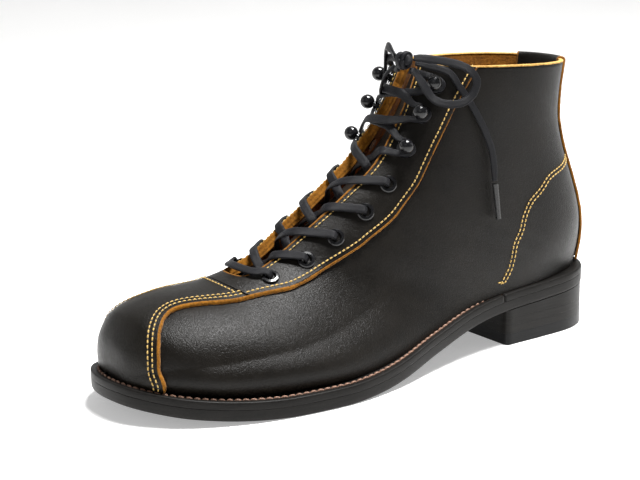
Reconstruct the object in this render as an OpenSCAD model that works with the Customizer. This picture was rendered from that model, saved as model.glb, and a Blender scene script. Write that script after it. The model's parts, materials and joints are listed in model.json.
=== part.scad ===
// Laced leather ankle boot, left foot. Millimetres.
// The toe points to -Y, the outer side of the foot is +X, the floor is Z = 0.

/* [Overall size] */
// Length of the outsole from toe to heel
sole_length = 302; // [270:1:335]
// Width of the outsole across the ball of the foot
ball_width = 108; // [92:1:122]
// Height of the collar at the back, above the floor
collar_height = 153; // [135:1:190]
// Height of the heel stack where it starts
heel_height = 20; // [16:0.5:30]
// Rise of the toe above the floor
toe_spring = 9; // [5:0.5:14]

/* [Sole] */
// Thickness of the outsole
outsole_t = 6; // [5:0.1:8]
// Thickness of the welt and of the rand at the heel
welt_t = 4; // [3:0.1:5]
// Thickness of the rubber top lift of the heel
top_lift_t = 6.5; // [5:0.1:8]
// Radius of a heel nail
nail_r = 1.2; // [0.8:0.1:1.8]

/* [Leather] */
// Thickness of the quarters and the toe cap
leather_t = 2; // [1.4:0.1:2.4]
// Space left between two layers of leather
layer_gap = 0.3; // [0.2:0.05:0.5]
// Thickness of the tongue
tongue_t = 1.8; // [1.2:0.1:2.4]

/* [Hardware] */
// Radius of the hole through an eyelet
eyelet_bore_r = 2.6; // [2:0.1:3]
// Radius of the flange of an eyelet
eyelet_flange_r = 4.6; // [3.6:0.1:5]
// Radius of the ball of a speed hook
hook_ball_r = 4; // [3:0.1:4.4]
// Radius of the washer under a speed hook
hook_washer_r = 5; // [4.2:0.1:5.4]

/* [Lace] */
// Width of the flat lace
lace_w = 5; // [4:0.1:6]
// Thickness of the flat lace
lace_t = 1.5; // [1.2:0.1:2]
// Radius of an aglet
aglet_r = 1.7; // [1.3:0.1:2.2]

/* [Hidden] */

ky = sole_length / 302;
kx = ball_width / 108;
sole_t = outsole_t + welt_t;
heel_back = heel_height + 5;
seat_z = heel_back + sole_t;
kh = (collar_height - seat_z) / 118;
// the plan of the sole runs further out on the outer side, so every piece is moved by this to stand over the origin
CENTRE = [-2.75 * kx, -0.6 * ky, 0];
module centred() {
  translate(CENTRE) children();
}

// ---- small helpers ----
function clip(a) = min(1, max(0, a));
function smooth(a, b, x) = let (t = clip((x - a) / (b - a))) t * t * (3 - 2 * t);
function mix(a, b, t) = a + (b - a) * t;
function seg(t, k, i = 0) = (i >= len(k) - 2 || t < k[i + 1][0]) ? i : seg(t, k, i + 1);
function slope(k, i) =
  let (a = max(i - 1, 0), b = min(i + 1, len(k) - 1))
  (k[b][1] - k[a][1]) / (k[b][0] - k[a][0]);
// smooth curve through a list of [key, value]
function curve(k, t0) =
  let (t = min(k[len(k) - 1][0], max(k[0][0], t0)))
  let (i = seg(t, k), h = k[i + 1][0] - k[i][0], s = (t - k[i][0]) / h)
  let (s2 = s * s, s3 = s2 * s)
  k[i][1] * (2 * s3 - 3 * s2 + 1) + slope(k, i) * (h * (s3 - 2 * s2 + s))
  + k[i + 1][1] * (3 * s2 - 2 * s3) + slope(k, i + 1) * (h * (s3 - s2));
// keys of a list of points by the length between them, from 0 to 1
function runs(p, i = 0, d = 0) =
  i >= len(p) ? [] : let (e = i == 0 ? 0 : d + norm(p[i] - p[i - 1])) concat([e], runs(p, i + 1, e));
function keyed(p) = let (r = runs(p), n = r[len(r) - 1]) [for (i = [0:len(p) - 1]) [r[i] / n, p[i]]];
function unit(v) = v / max(norm(v), 0.000001);
function flat(l) = [for (a = l) for (b = a) b];
// closed smooth outline
function ring_curve(p, n) = [for (i = [0:len(p) - 1]) for (k = [0:n - 1])
  let (a = p[(i + len(p) - 1) % len(p)], b = p[i], c = p[(i + 1) % len(p)], d = p[(i + 2) % len(p)], t = k / n)
  0.5 * (2 * b + (c - a) * t + (2 * a - 5 * b + 4 * c - d) * t * t + (3 * b - a - 3 * c + d) * t * t * t)];

// ---- side view of the sole: height of its underside along the foot ----
LIFT = [[-150, toe_spring], [-128, toe_spring * 0.52], [-104, toe_spring * 0.18], [-78, 0], [-45, 0],
  [-15, heel_height * 0.12], [20, heel_height * 0.48], [52, heel_height * 0.84], [76, heel_height],
  [110, heel_height + 2.2], [150, heel_back]];
function lift(y) = max(0, curve(LIFT, y / ky));
function feather(y) = lift(y) + sole_t;

// ---- plan of the sole ----
SOLE = [[0, 151], [21.3, 143.8], [31.4, 128], [33.6, 104], [34.2, 78], [37, 50], [43.6, 20], [52, -9],
  [57, -37], [56.6, -62], [52.5, -88], [44.6, -111], [32, -131.5], [12, -147], [-12, -151], [-31, -144.5],
  [-45.5, -127], [-50, -106], [-51.5, -85], [-50.5, -60], [-45, -35], [-37.5, -10], [-33, 20], [-31.5, 50],
  [-33.6, 78], [-33.6, 104], [-31.4, 128], [-21.3, 143.8]];
SOLE_XY = [for (p = SOLE) [p[0] * kx, p[1] * ky]];
module plan(inset = 0) {
  if (inset == 0) polygon(ring_curve(SOLE_XY, 4));
  else offset(delta = -inset) polygon(ring_curve(SOLE_XY, 4));
}
// a slab of the sole between two heights that follow the side view
module side_slab(low, high, y0 = -170, y1 = 170) {
  st = [for (k = [0:26]) mix(max(y0, -153), min(y1, 153), k / 26) * ky];
  rotate([90, 0, 90])
    translate([0, 0, -90])
      linear_extrude(height = 180)
        polygon(concat([for (y = st) [y, lift(y) + low]],
          [for (k = [26:-1:0]) [st[k], lift(st[k]) + high]]));
}
module sole_layer(low, high, inset, y0 = -170, y1 = 170) {
  intersection() {
    translate([0, 0, -10]) linear_extrude(height = 80) plan(inset);
    side_slab(low, high, y0, y1);
  }
}
module band(y0, y1) {
  translate([-90, y0 * ky]) square([180, (y1 - y0) * ky]);
}

// ---- the upper: its outer surface ----
// half outlines where the upper meets the welt, from the toe to the start of the heel
OUTER = keyed([[-11, -143.5], [8, -141], [24, -129.5], [37, -110], [44.5, -87], [49, -62], [50, -38],
  [46, -10], [38.5, 20], [33, 50], [31.5, 80]]);
INNER = keyed([[-11, -143.5], [-27, -138.5], [-38.5, -122], [-43.5, -104], [-45, -85], [-44, -60],
  [-39, -35], [-33, -10], [-28.5, 20], [-28.5, 50], [-31, 80]]);
// crest from the toe to the front of the collar: along the foot, and height over the sole
CREST = keyed([[-143, 0.4], [-143.8, 10], [-142.2, 20], [-135, 31], [-115.5, 39.8], [-89, 44.6], [-62, 53.6],
  [-38, 68.4], [-16, 82.5], [-1, 90.9], [9, 99], [18.5, 107.3], [26, 116], [31.5, 123.7], [36.5, 133.5]]);
// back line from the heel to the collar: height over the seat, and place along the foot
BACK = [[0, 149], [13, 150.3], [31, 148.6], [51, 142], [70, 134.5], [87, 130.3], [104, 130.7], [118, 132.7]];
// sideways place of the crest
LEAN = [[-150, -11], [-110, -9.5], [-60, -6], [0, -2], [40, 0]];
// half width of the heel and the shaft by height over the seat
GIRTH = [[-5, 31.5], [10, 33], [25, 33.5], [55, 33], [85, 33.5], [115, 35.5], [155, 38]];
// radius of the rounding at the back by height over the seat
ROUND = [[-5, 69], [3, 69], [20, 52], [40, 44], [65, 42], [115, 46], [155, 50]];
// fullness of the section from the welt to the crest
FULL = [[0, 2], [0.12, 2.2], [0.3, 2.2], [0.45, 2.5], [0.6, 3.6], [0.75, 5], [0.85, 4.5], [1, 3.4]];
UB = 0.6;
UH = 0.78;
function back_y(h) = curve(BACK, h) * ky;
// section at station u: [side, crest point, foot point, half width, centre, fullness, blend, plain width]
function sec(side, u) =
  let (f = curve(CREST, min(u, 1)), fx = curve(LEAN, f[0]) * kx)
  let (F = [fx, f[0] * ky, feather(f[0] * ky) + f[1] * (u < 0.05 ? 1 : kh)])
  let (edge = side > 0 ? OUTER : INNER, last = edge[len(edge) - 1][1])
  let (o = u <= UB ? curve(edge, u / UB) : last)
  let (c = pow(cos(90 * (1 - clip((u - UB) / (UH - UB)))), 2 / 2.3))
  let (by = BACK[0][1])
  let (hb = (u - UH) / (1 - UH) * 118)
  let (R = u <= UB ? [o[1] * ky, feather(o[1] * ky)]
    : u <= UH ? let (y = (by - (by - last[1]) * (1 - c)) * ky) [y, feather(y)]
    : [back_y(hb), seat_z + hb * kh])
  let (cx = u <= UB ? curve(LEAN, o[1]) * kx : 0)
  let (rx = u <= UB ? abs(o[0] * kx - cx) : abs(last[0]) * kx)
  [side, F, R, rx, cx, curve(FULL, u), smooth(0, 80 * ky, R[0]), abs(last[0]) * kx];
// point of a section, w from 0 at the welt or the back to 1 at the crest
function on(s, w) =
  let (t = 0.5 - 0.5 * cos(180 * w))
  let (y = mix(s[2][0], s[1][1], t), z = mix(s[2][1], s[1][2], t), h = (z - seat_z) / kh)
  let (db = back_y(max(h, 0)) - y, rb = curve(ROUND, h) * ky)
  let (f = pow(1 - pow(1 - clip(db / rb), 2.3), 1 / 2.3))
  let (lo = s[3] * (1 + 0.06 * sin(180 * clip(t / 0.45))))
  let (hi = curve(GIRTH, h) * kx * mix(s[3] / (31.5 * kx), 1, smooth(0, 40, h)))
  let (g = pow(1 - pow(min(t, 1), s[5]), 1 / 2.15))
  [s[4] + (s[1][0] - s[4]) * t + s[0] * mix(lo, hi, s[6]) * f * g, y, z];
// point at station u and sideways place v (+1 outer welt, 0 crest, -1 inner welt), d above the leather;
// nothing goes lower than just over the welt
function at(u, v, d) =
  let (side = v >= 0 ? 1 : -1, w = 1 - abs(v), uu = min(u, 1), e = 0.006)
  let (s = sec(side, uu), a = sec(side, max(uu - e, 0.002)), b = sec(side, min(uu + e, 1)))
  let (w0 = max(w - 0.02, 0), w1 = min(w + 0.02, 1), p = on(s, w))
  let (du = on(b, w) - on(a, w), dw = (on(s, w1) - on(s, w0)) * side)
  let (n0 = unit(cross(du, dw)), n = unit([n0[0] * smooth(0, 0.03, abs(v)), n0[1], n0[2]]))
  let (q = p + n * d + (u > 1 ? unit(du) * (u - 1) * 370 * ky : [0, 0, 0]))
  [q[0], q[1], max(q[2], feather(q[1]) + 0.25)];
function normal_at(u, v) = unit(at(u, v, 3) - at(u, v, 0));

// ---- panels: closed sheets between two offsets of the surface ----
// edge is a list of [u, v of the first side, v of the second side]
function row_uv(r, k, n) = [mix(r[0], len(r) > 3 ? r[3] : r[0], k / n), mix(r[1], r[2], k / n)];
module sheet(top, bottom) {
  m = len(top);
  n = len(top[0]);
  pts = concat(flat(top), flat(bottom));
  o = m * n;
  quads = concat(
    [for (i = [0:m - 2]) for (j = [0:n - 2]) [i * n + j, i * n + j + 1, (i + 1) * n + j + 1, (i + 1) * n + j]],
    [for (i = [0:m - 2]) for (j = [0:n - 2])
      [o + i * n + j, o + (i + 1) * n + j, o + (i + 1) * n + j + 1, o + i * n + j + 1]],
    [for (j = [0:n - 2]) [j, o + j, o + j + 1, j + 1]],
    [for (j = [0:n - 2]) [(m - 1) * n + j, (m - 1) * n + j + 1, o + (m - 1) * n + j + 1, o + (m - 1) * n + j]],
    [for (i = [0:m - 2]) [i * n, (i + 1) * n, o + (i + 1) * n, o + i * n]],
    [for (i = [0:m - 2]) [i * n + n - 1, o + i * n + n - 1, o + (i + 1) * n + n - 1, (i + 1) * n + n - 1]]);
  tris = [for (q = quads) for (t = [[q[0], q[2], q[1]], [q[0], q[3], q[2]]]) t];
  polyhedron(points = pts, faces = tris);
}
module panel(rows, n, low, high) {
  sheet([for (r = rows) [for (k = [0:n]) let (q = row_uv(r, k, n)) at(q[0], q[1], high)]],
    [for (r = rows) [for (k = [0:n]) let (q = row_uv(r, k, n)) at(q[0], q[1], low)]]);
}

// raw edge of the toe cap and the eyestay
EDGE = [[0.083, 1], [0.087, 0.79], [0.095, 0.565], [0.112, 0.412], [0.139, 0.281], [0.164, 0.206],
  [0.191, 0.156], [0.218, 0.137], [0.26, 0.146], [0.3, 0.166], [0.335, 0.188], [0.374, 0.208], [0.404, 0.235],
  [0.436, 0.266], [0.52, 0.29], [0.58, 0.297], [0.622, 0.288], [0.667, 0.278], [0.726, 0.256], [0.776, 0.245],
  [0.811, 0.243], [0.851, 0.245], [0.887, 0.254], [0.942, 0.275], [1, 0.312]];
// front edge of the quarters, hidden under the toe cap
TUCK = [[0.06, 1], [0.065, 0.78], [0.076, 0.52], [0.092, 0.35], [0.115, 0.22], [0.145, 0.13], [0.19, 0.08],
  [0.25, 0.06], [0.35, 0.055], [0.392, 0.05]];
// edge of the throat
THROAT = [[0.392, 0.05], [0.4, 0.085], [0.42, 0.097], [0.5, 0.098], [0.6, 0.096], [0.74, 0.09], [0.8, 0.088],
  [0.85, 0.078], [0.9, 0.07], [0.95, 0.06], [1, 0.055]];
CAP_END = 0.354;
RIM = 0.985;
function tuck(u) = u < 0.392 ? curve(TUCK, u) : curve(THROAT, u);

module toe_cap() {
  us = [0.006, 0.02, 0.035, 0.05, 0.063, 0.073, 0.079, 0.0832, 0.0845, 0.086, 0.088, 0.0905, 0.094, 0.098,
    0.104, 0.112, 0.122, 0.135, 0.15, 0.17, 0.195, 0.225, 0.26, 0.3, 0.335, CAP_END];
  color([0.10, 0.09, 0.08])
    panel([for (u = us) let (e = RIM * (u < 0.083 ? 1 : curve(EDGE, u))) [u, -e, e]], 22,
      layer_gap, layer_gap + leather_t - 0.2);
}
module toe_puff() {
  us = [0.008, 0.02, 0.035, 0.048, 0.056, 0.062, 0.066, 0.072, 0.08, 0.09, 0.102, 0.118];
  color([0.75, 0.68, 0.55])
    panel([for (u = us) let (e = min(0.97, u < 0.055 ? 0.97 : curve(TUCK, u + 0.006) - 0.035)) [u, -e, e]], 22,
      -leather_t, 0);
}
// the eyestay is one strip bent round the front of the throat
function arm(s, u) = [u, s * curve(THROAT, u), s * curve(EDGE, u), u];
function bridge(s) = [
  [0.412, s * 0.093, s * 0.24, 0.408],
  [0.403, s * 0.087, s * 0.222, 0.39],
  [0.397, s * 0.072, s * 0.208, 0.374],
  [0.3935, s * 0.048, s * 0.198, 0.36],
  [0.392, s * 0.024, s * 0.12, CAP_END + 0.003]];
ARM_U = [1, 0.975, 0.95, 0.925, 0.9, 0.87, 0.84, 0.81, 0.78, 0.74, 0.7, 0.66, 0.62, 0.58, 0.54, 0.5, 0.46, 0.43];
module eyestay() {
  rows = concat([for (u = ARM_U) arm(-1, u)], bridge(-1), [[0.3915, 0, 0, CAP_END + 0.003]],
    [for (k = [4:-1:0]) bridge(1)[k]], [for (k = [len(ARM_U) - 1:-1:0]) arm(1, ARM_U[k])]);
  color([0.10, 0.09, 0.08])
    difference() {
      panel(rows, 7, layer_gap, layer_gap + leather_t - 0.2);
      eyelet_holes(1);
      eyelet_holes(-1);
    }
}
module quarter(s) {
  us = [0.0605, 0.0625, 0.065, 0.07, 0.076, 0.084, 0.092, 0.103, 0.115, 0.13, 0.145, 0.165, 0.19, 0.22, 0.25,
    0.285, 0.32, 0.355, 0.38, 0.392, 0.4, 0.42, 0.46, 0.5, 0.54, 0.58, 0.61, 0.64, 0.67, 0.7, 0.73, 0.755, 0.775,
    0.785, 0.8, 0.82, 0.845, 0.87, 0.895, 0.92, 0.945, 0.97, 1];
  difference() {
    panel([for (u = us) let (e = u > UH ? 0.997 : RIM) [u, s * min(tuck(u), e - 0.012), s * e]], 17, -leather_t, 0);
    eyelet_holes(s);
  }
}
module quarter_left() {
  color([0.10, 0.09, 0.08]) quarter(1);
}
module quarter_right() {
  color([0.10, 0.09, 0.08]) quarter(-1);
}
module facing_stay(s) {
  us = [0.41, 0.445, 0.48, 0.52, 0.56, 0.6, 0.64, 0.68, 0.72, 0.76, 0.8, 0.84, 0.88, 0.92, 0.96, 0.995];
  color([0.62, 0.40, 0.20])
    difference() {
      panel([for (u = us) [u, s * (curve(THROAT, u) + 0.012), s * (curve(EDGE, u) - 0.02)]], 7,
        -leather_t - layer_gap - 1.2, -leather_t - layer_gap);
      eyelet_holes(s);
    }
}
module facing_stay_left() {
  facing_stay(1);
}
module facing_stay_right() {
  facing_stay(-1);
}

// ---- pieces wrapped round the heel, by height over the seat and sideways place ----
// a is the way round from the back, -1 to 1; reach is how far forward it goes
function heel_pt(h, a, reach, d) =
  let (rb = curve(ROUND, h) * ky, r = reach * ky)
  let (bend = min(rb, r), k = abs(a))
  let (y0 = r * (1 - cos(90 * k)))
  let (f = pow(1 - pow(1 - clip(y0 / rb), 2.3), 1 / 2.3))
  [sign(a) * curve(GIRTH, h) * kx * mix(31.3 / 31.5, 1, smooth(0, 40, h)) * f, back_y(max(h, 0)) - y0, 0];
function heel_at(h, a, reach, d) =
  let (p = heel_pt(h, a, reach, 0), q = heel_pt(h, a + 0.01, reach, 0), r = heel_pt(h, a - 0.01, reach, 0))
  let (t = unit([q[0] - r[0], q[1] - r[1]]))
  let (y = p[1] + t[0] * d, x = p[0] - t[1] * d)
  [x, y, max(seat_z + h * kh, feather(y) + 0.4)];
module wrap(hs, reaches, m, low, high) {
  sheet([for (i = [0:len(hs) - 1]) [for (k = [0:m]) heel_at(hs[i], 1 - 2 * k / m, reaches[i], high)]],
    [for (i = [0:len(hs) - 1]) [for (k = [0:m]) heel_at(hs[i], 1 - 2 * k / m, reaches[i], low)]]);
}
// how far forward the backstay goes round the heel, by height over the seat
STAY_REACH = [[0, 7.2], [20, 5.1], [40, 4.1], [65, 3.9], [118, 4.3]];
module backstay() {
  hs = [0.4, 6, 13, 22, 31, 41, 51, 61, 70, 79, 88, 97, 106, 112, 118];
  color([0.10, 0.09, 0.08])
    wrap(hs, [for (h = hs) curve(STAY_REACH, h)], 14, layer_gap, layer_gap + leather_t - 0.3);
}
module heel_counter() {
  hs = [0.6, 8, 16, 24, 32, 40, 48, 56];
  color([0.78, 0.70, 0.55])
    wrap(hs, [76, 75, 72, 68, 62, 54, 44, 30], 24, -leather_t - layer_gap - 2.2, -leather_t - layer_gap - 0.6);
}
module counter_lining() {
  hs = [0.6, 8, 16, 24, 32, 40, 48, 56, 62];
  color([0.62, 0.40, 0.20])
    wrap(hs, [84, 83, 80, 76, 70, 62, 52, 38, 24], 24, -leather_t - layer_gap - 3.8, -leather_t - layer_gap - 2.6);
}

// ---- tongue, hinged by its stitching in front of the throat ----
TONGUE_TOP = -leather_t - layer_gap - 1.2 - lace_t - 1.9;
module tongue_sheet(us, half, low, high, n) {
  panel([for (u = us) [u, -half, half]], n, low, high);
}
module tongue() {
  us = [0.375, 0.41, 0.45, 0.49, 0.53, 0.57, 0.61, 0.65, 0.69, 0.73, 0.77, 0.81, 0.85, 0.89, 0.93, 0.97, 1, 1.025];
  color([0.13, 0.10, 0.08]) tongue_sheet(us, 0.17, TONGUE_TOP - tongue_t, TONGUE_TOP, 14);
}
module tongue_facing() {
  us = [0.80, 0.84, 0.88, 0.92, 0.96, 1, 1.022];
  color([0.62, 0.40, 0.20])
    tongue_sheet(us, 0.14, TONGUE_TOP - tongue_t - 1.3, TONGUE_TOP - tongue_t - 0.2, 10);
}

// ---- sole pieces ----
module outsole() {
  color([0.13, 0.12, 0.11]) sole_layer(0, outsole_t - 0.1, 0);
}
module welt() {
  color([0.13, 0.12, 0.11])
    intersection() {
      translate([0, 0, -10])
        linear_extrude(height = 80)
          intersection() {
            difference() {
              plan(0);
              plan(12);
            }
            band(-160, 74);
          }
      side_slab(outsole_t, sole_t);
    }
}
module heel_rand() {
  color([0.13, 0.12, 0.11])
    intersection() {
      translate([0, 0, -10])
        linear_extrude(height = 80)
          intersection() {
            difference() {
              plan(0);
              plan(9);
            }
            band(74.3, 160);
          }
      side_slab(outsole_t, sole_t);
    }
}
HEEL_IN = 0.4;
// how far the insole stays inside the edge of the sole: the welt's ledge, and the layers of the upper
INSOLE_IN = 2.8 + 5.2 + leather_t + layer_gap + 3.2;
NAILS = [[0, 138], [-20, 122], [20, 122], [-22, 96], [22, 96]];
module heel_slab(z0, z1, holes = true) {
  difference() {
    translate([0, 0, z0])
      linear_extrude(height = z1 - z0)
        intersection() {
          plan(HEEL_IN);
          band(76, 160);
        }
    if (holes)
      for (p = NAILS) translate([p[0] * kx, p[1] * ky, -1]) cylinder(r = nail_r + 0.15, h = 60, $fn = 20);
  }
}
lift_t = (heel_height - top_lift_t) / 3;
module top_lift() {
  color([0.09, 0.09, 0.09]) heel_slab(0, top_lift_t - 0.1, false);
}
module heel_lift_1() {
  color([0.13, 0.12, 0.11]) heel_slab(top_lift_t, top_lift_t + lift_t - 0.1);
}
module heel_lift_2() {
  color([0.13, 0.12, 0.11]) heel_slab(top_lift_t + lift_t, top_lift_t + 2 * lift_t - 0.1);
}
module heel_lift_3() {
  color([0.13, 0.12, 0.11])
    intersection() {
      heel_slab(top_lift_t + 2 * lift_t, 60);
      side_slab(-30, -0.1);
    }
}
module heel_nails() {
  color([0.7, 0.65, 0.5])
    for (p = NAILS) translate([p[0] * kx, p[1] * ky, top_lift_t + 0.2])
      cylinder(r = nail_r, h = 3 * lift_t - 1, $fn = 20);
}
module insole() {
  color([0.76, 0.62, 0.44]) sole_layer(sole_t + 0.1, sole_t + 2.6, INSOLE_IN);
}
module insole_rib() {
  color([0.80, 0.74, 0.62])
    intersection() {
      translate([0, 0, -10])
        linear_extrude(height = 80)
          intersection() {
            difference() {
              plan(12.4);
              plan(14.4);
            }
            band(-160, 72);
          }
      side_slab(outsole_t, sole_t);
    }
}
module shank_shape(grow, low, high) {
  intersection() {
    translate([-8 * kx - grow, -22 * ky - grow, -10]) cube([13 * kx + 2 * grow, 112 * ky + 2 * grow, 80]);
    side_slab(low, high);
  }
}
module cork_filler() {
  color([0.70, 0.52, 0.34])
    difference() {
      sole_layer(outsole_t, sole_t, 14.8);
      shank_shape(0.5, outsole_t - 1, outsole_t + 1.8);
    }
}
module shank() {
  color([0.60, 0.61, 0.63]) shank_shape(0, outsole_t + 0.1, outsole_t + 1.5);
}
module sock_liner() {
  color([0.60, 0.38, 0.20]) sole_layer(sole_t + 2.7, sole_t + 3.9, INSOLE_IN + 0.5);
}

// ---- eyelets and speed hooks ----
EYES = [[0.428, 0.171], [0.505, 0.21], [0.581, 0.211], [0.661, 0.2], [0.742, 0.176]];
HOOKS = [[0.824, 0.158], [0.9, 0.156], [0.962, 0.17]];
HOLES = concat(EYES, HOOKS);
TOP = layer_gap + leather_t - 0.2;
// turns Z onto a direction, then moves to a point
module stand(p, n) {
  translate(p)
    rotate([0, acos(n[2]), atan2(n[1], n[0])])
      children();
}
module eyelet_holes(s) {
  for (e = HOLES)
    stand(at(e[0], s * e[1], 0), normal_at(e[0], s * e[1]))
      translate([0, 0, -12]) cylinder(r = eyelet_bore_r + 0.75, h = 24, $fn = 24);
}
module eyelet(s, k) {
  e = EYES[k];
  a = eyelet_bore_r;
  f = eyelet_flange_r;
  low = -leather_t - layer_gap - 1.2;
  color([0.03, 0.03, 0.03])
    stand(at(e[0], s * e[1], 0), normal_at(e[0], s * e[1]))
      rotate_extrude($fn = 40)
        polygon([[a, low - 0.3], [a, TOP + 0.9], [a + 0.35, TOP + 1.2], [f - 0.5, TOP + 1.05], [f, TOP + 0.55],
          [a + 0.6, TOP + 0.45], [a + 0.6, low - 0.5], [a + 1.3, low - 0.7], [a + 1.2, low - 1.1],
          [a + 0.3, low - 0.9]]);
}
module hook(s, k) {
  e = HOOKS[k];
  b = hook_ball_r;
  z = TOP + 3.7 + b * 0.88;
  color([0.03, 0.03, 0.03])
    stand(at(e[0], s * e[1], 0), normal_at(e[0], s * e[1])) {
      rotate_extrude($fn = 40)
        polygon(concat([[0, -leather_t - 2.4], [3.6, -leather_t - 2.4], [3.4, -leather_t - 1.9],
          [2.6, -leather_t - 1.8], [2.6, TOP + 0.4], [hook_washer_r, TOP + 0.45], [hook_washer_r - 0.2, TOP + 0.9],
          [1.9, TOP + 1.2], [1.6, TOP + 1.6], [1.6, TOP + 3.8]],
          [for (a = [-60:10:80]) [b * cos(a), z + b * sin(a)]], [[0, z + b]]));
    }
}

// ---- the flat lace: a strip swept along points, with its broad side's direction at each ----
// st is a list of [point, direction out of the broad side, width, thickness]
module strip(st, fine = 3) {
  n = len(st);
  pk = [for (i = [0:n - 1]) [i, st[i][0]]];
  nk = [for (i = [0:n - 1]) [i, st[i][1]]];
  wk = [for (i = [0:n - 1]) [i, [st[i][2], st[i][3]]]];
  m = (n - 1) * fine;
  rings = [for (i = [0:m])
    let (t = i / fine, p = curve(pk, t), q = curve(pk, min(t + 0.1, n - 1)), r = curve(pk, max(t - 0.1, 0)))
    let (tan = unit(q - r), raw = curve(nk, t), up = unit(raw - tan * (raw * tan)), side = cross(tan, up))
    let (wt = curve(wk, t), a = wt[0] / 2, b = wt[1] / 2)
    [for (c = [[-a, 0], [-a * 0.84, -b], [a * 0.84, -b], [a, 0], [a * 0.84, b], [-a * 0.84, b]])
      p + side * c[0] + up * c[1]]];
  pts = flat(rings);
  tris = concat(
    [for (i = [0:m - 1]) for (j = [0:5]) let (k = (j + 1) % 6)
      for (f = [[i * 6 + j, i * 6 + k, (i + 1) * 6 + k], [i * 6 + j, (i + 1) * 6 + k, (i + 1) * 6 + j]]) f],
    [for (j = [1:4]) [0, j + 1, j]],
    [for (j = [1:4]) [m * 6, m * 6 + j, m * 6 + j + 1]]);
  polyhedron(points = pts, faces = tris);
}
// a stop of the lace on the surface: station, sideways place, height, side facing out, width, thickness
function stop(u, v, d, f, w, t) = [at(u, v, d), f * normal_at(u, v), w, t];
UNDER = -leather_t - layer_gap - 1.2 - lace_t / 2 - 0.4;
OVER = TOP + lace_t / 2 + 0.5;
HELD = TOP + 2.45;
narrow = min(lace_w * 0.64, eyelet_bore_r * 1.4);
thick = lace_t * 1.25;
// down through eyelet k on side s and back under the facing
function through(s, k, f) =
  let (e = EYES[k], p = at(e[0], s * e[1], 0), n = normal_at(e[0], s * e[1]))
  let (g = unit(at(e[0], s * (e[1] - 0.04), 0) - p))
  [[p + n * (TOP + 2.7) + g * 3.6, f * unit(n - g * 0.2), mix(narrow, lace_w, 0.7), lace_t],
   [p + n * (TOP + 1.7) + g * 0.4, f * unit(n - g), narrow, thick],
   [p - n * 1.2, -f * g, narrow, thick],
   [p - n * (leather_t + 3.1) + g * 0.5, -f * unit(n + g), narrow, thick],
   [p + n * (UNDER - 1.2) + g * 3.6, -f * unit(n + g * 0.1), mix(narrow, lace_w, 0.4), lace_t]];
// from under the facing on side s, over the tongue, onto the other facing
function pass(s, k, f) =
  let (a = HOLES[k][0], b = HOLES[k + 1][0], c = k == 4 ? 0.9 : 1)
  let (t0 = curve(THROAT, mix(a, b, 0.25)), t1 = curve(THROAT, mix(a, b, 0.75)), um = mix(a, b, 0.5))
  let (first = s * (k % 2 == 0 ? 1 : -1) > 0)
  [stop(mix(a, b, 0.25), s * t0 * 0.86, UNDER - 0.1, f, lace_w, lace_t),
   stop(mix(a, b, 0.38), s * 0.042, first ? -1.2 : UNDER + 0.5, f, lace_w, lace_t),
   stop(um, 0, first ? 1 : -3.3, f, lace_w, lace_t),
   stop(mix(a, b, 0.62), -s * 0.042, first ? 2.8 : -2.2, f, lace_w, lace_t),
   stop(mix(a, b, 0.75), -s * t1 * 0.95, OVER + (first ? 0.3 : 0), f, lace_w, lace_t)];
// round the neck of hook k on side s
function round_hook(s, k, f) =
  let (e = HOOKS[k], p = at(e[0], s * e[1], HELD), n = normal_at(e[0], s * e[1]))
  let (g = unit(at(e[0], s * (e[1] - 0.04), HELD) - p), c = unit(cross(n, g) * s * -1))
  [[p + g * 6 - c * 4.4, f * n, lace_w * 0.72, lace_t],
   [p + g * 1.4 - c * 3.6, f * n, narrow * 0.9, thick],
   [p - g * 3.4 - c * 1.6, f * n, narrow * 0.9, thick],
   [p - g * 3.4 + c * 1.6, f * n, narrow * 0.9, thick],
   [p + g * 1.4 + c * 3.6, f * n, narrow * 0.9, thick],
   [p + g * 6 + c * 4.0, f * n, lace_w * 0.72, lace_t]];
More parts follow.
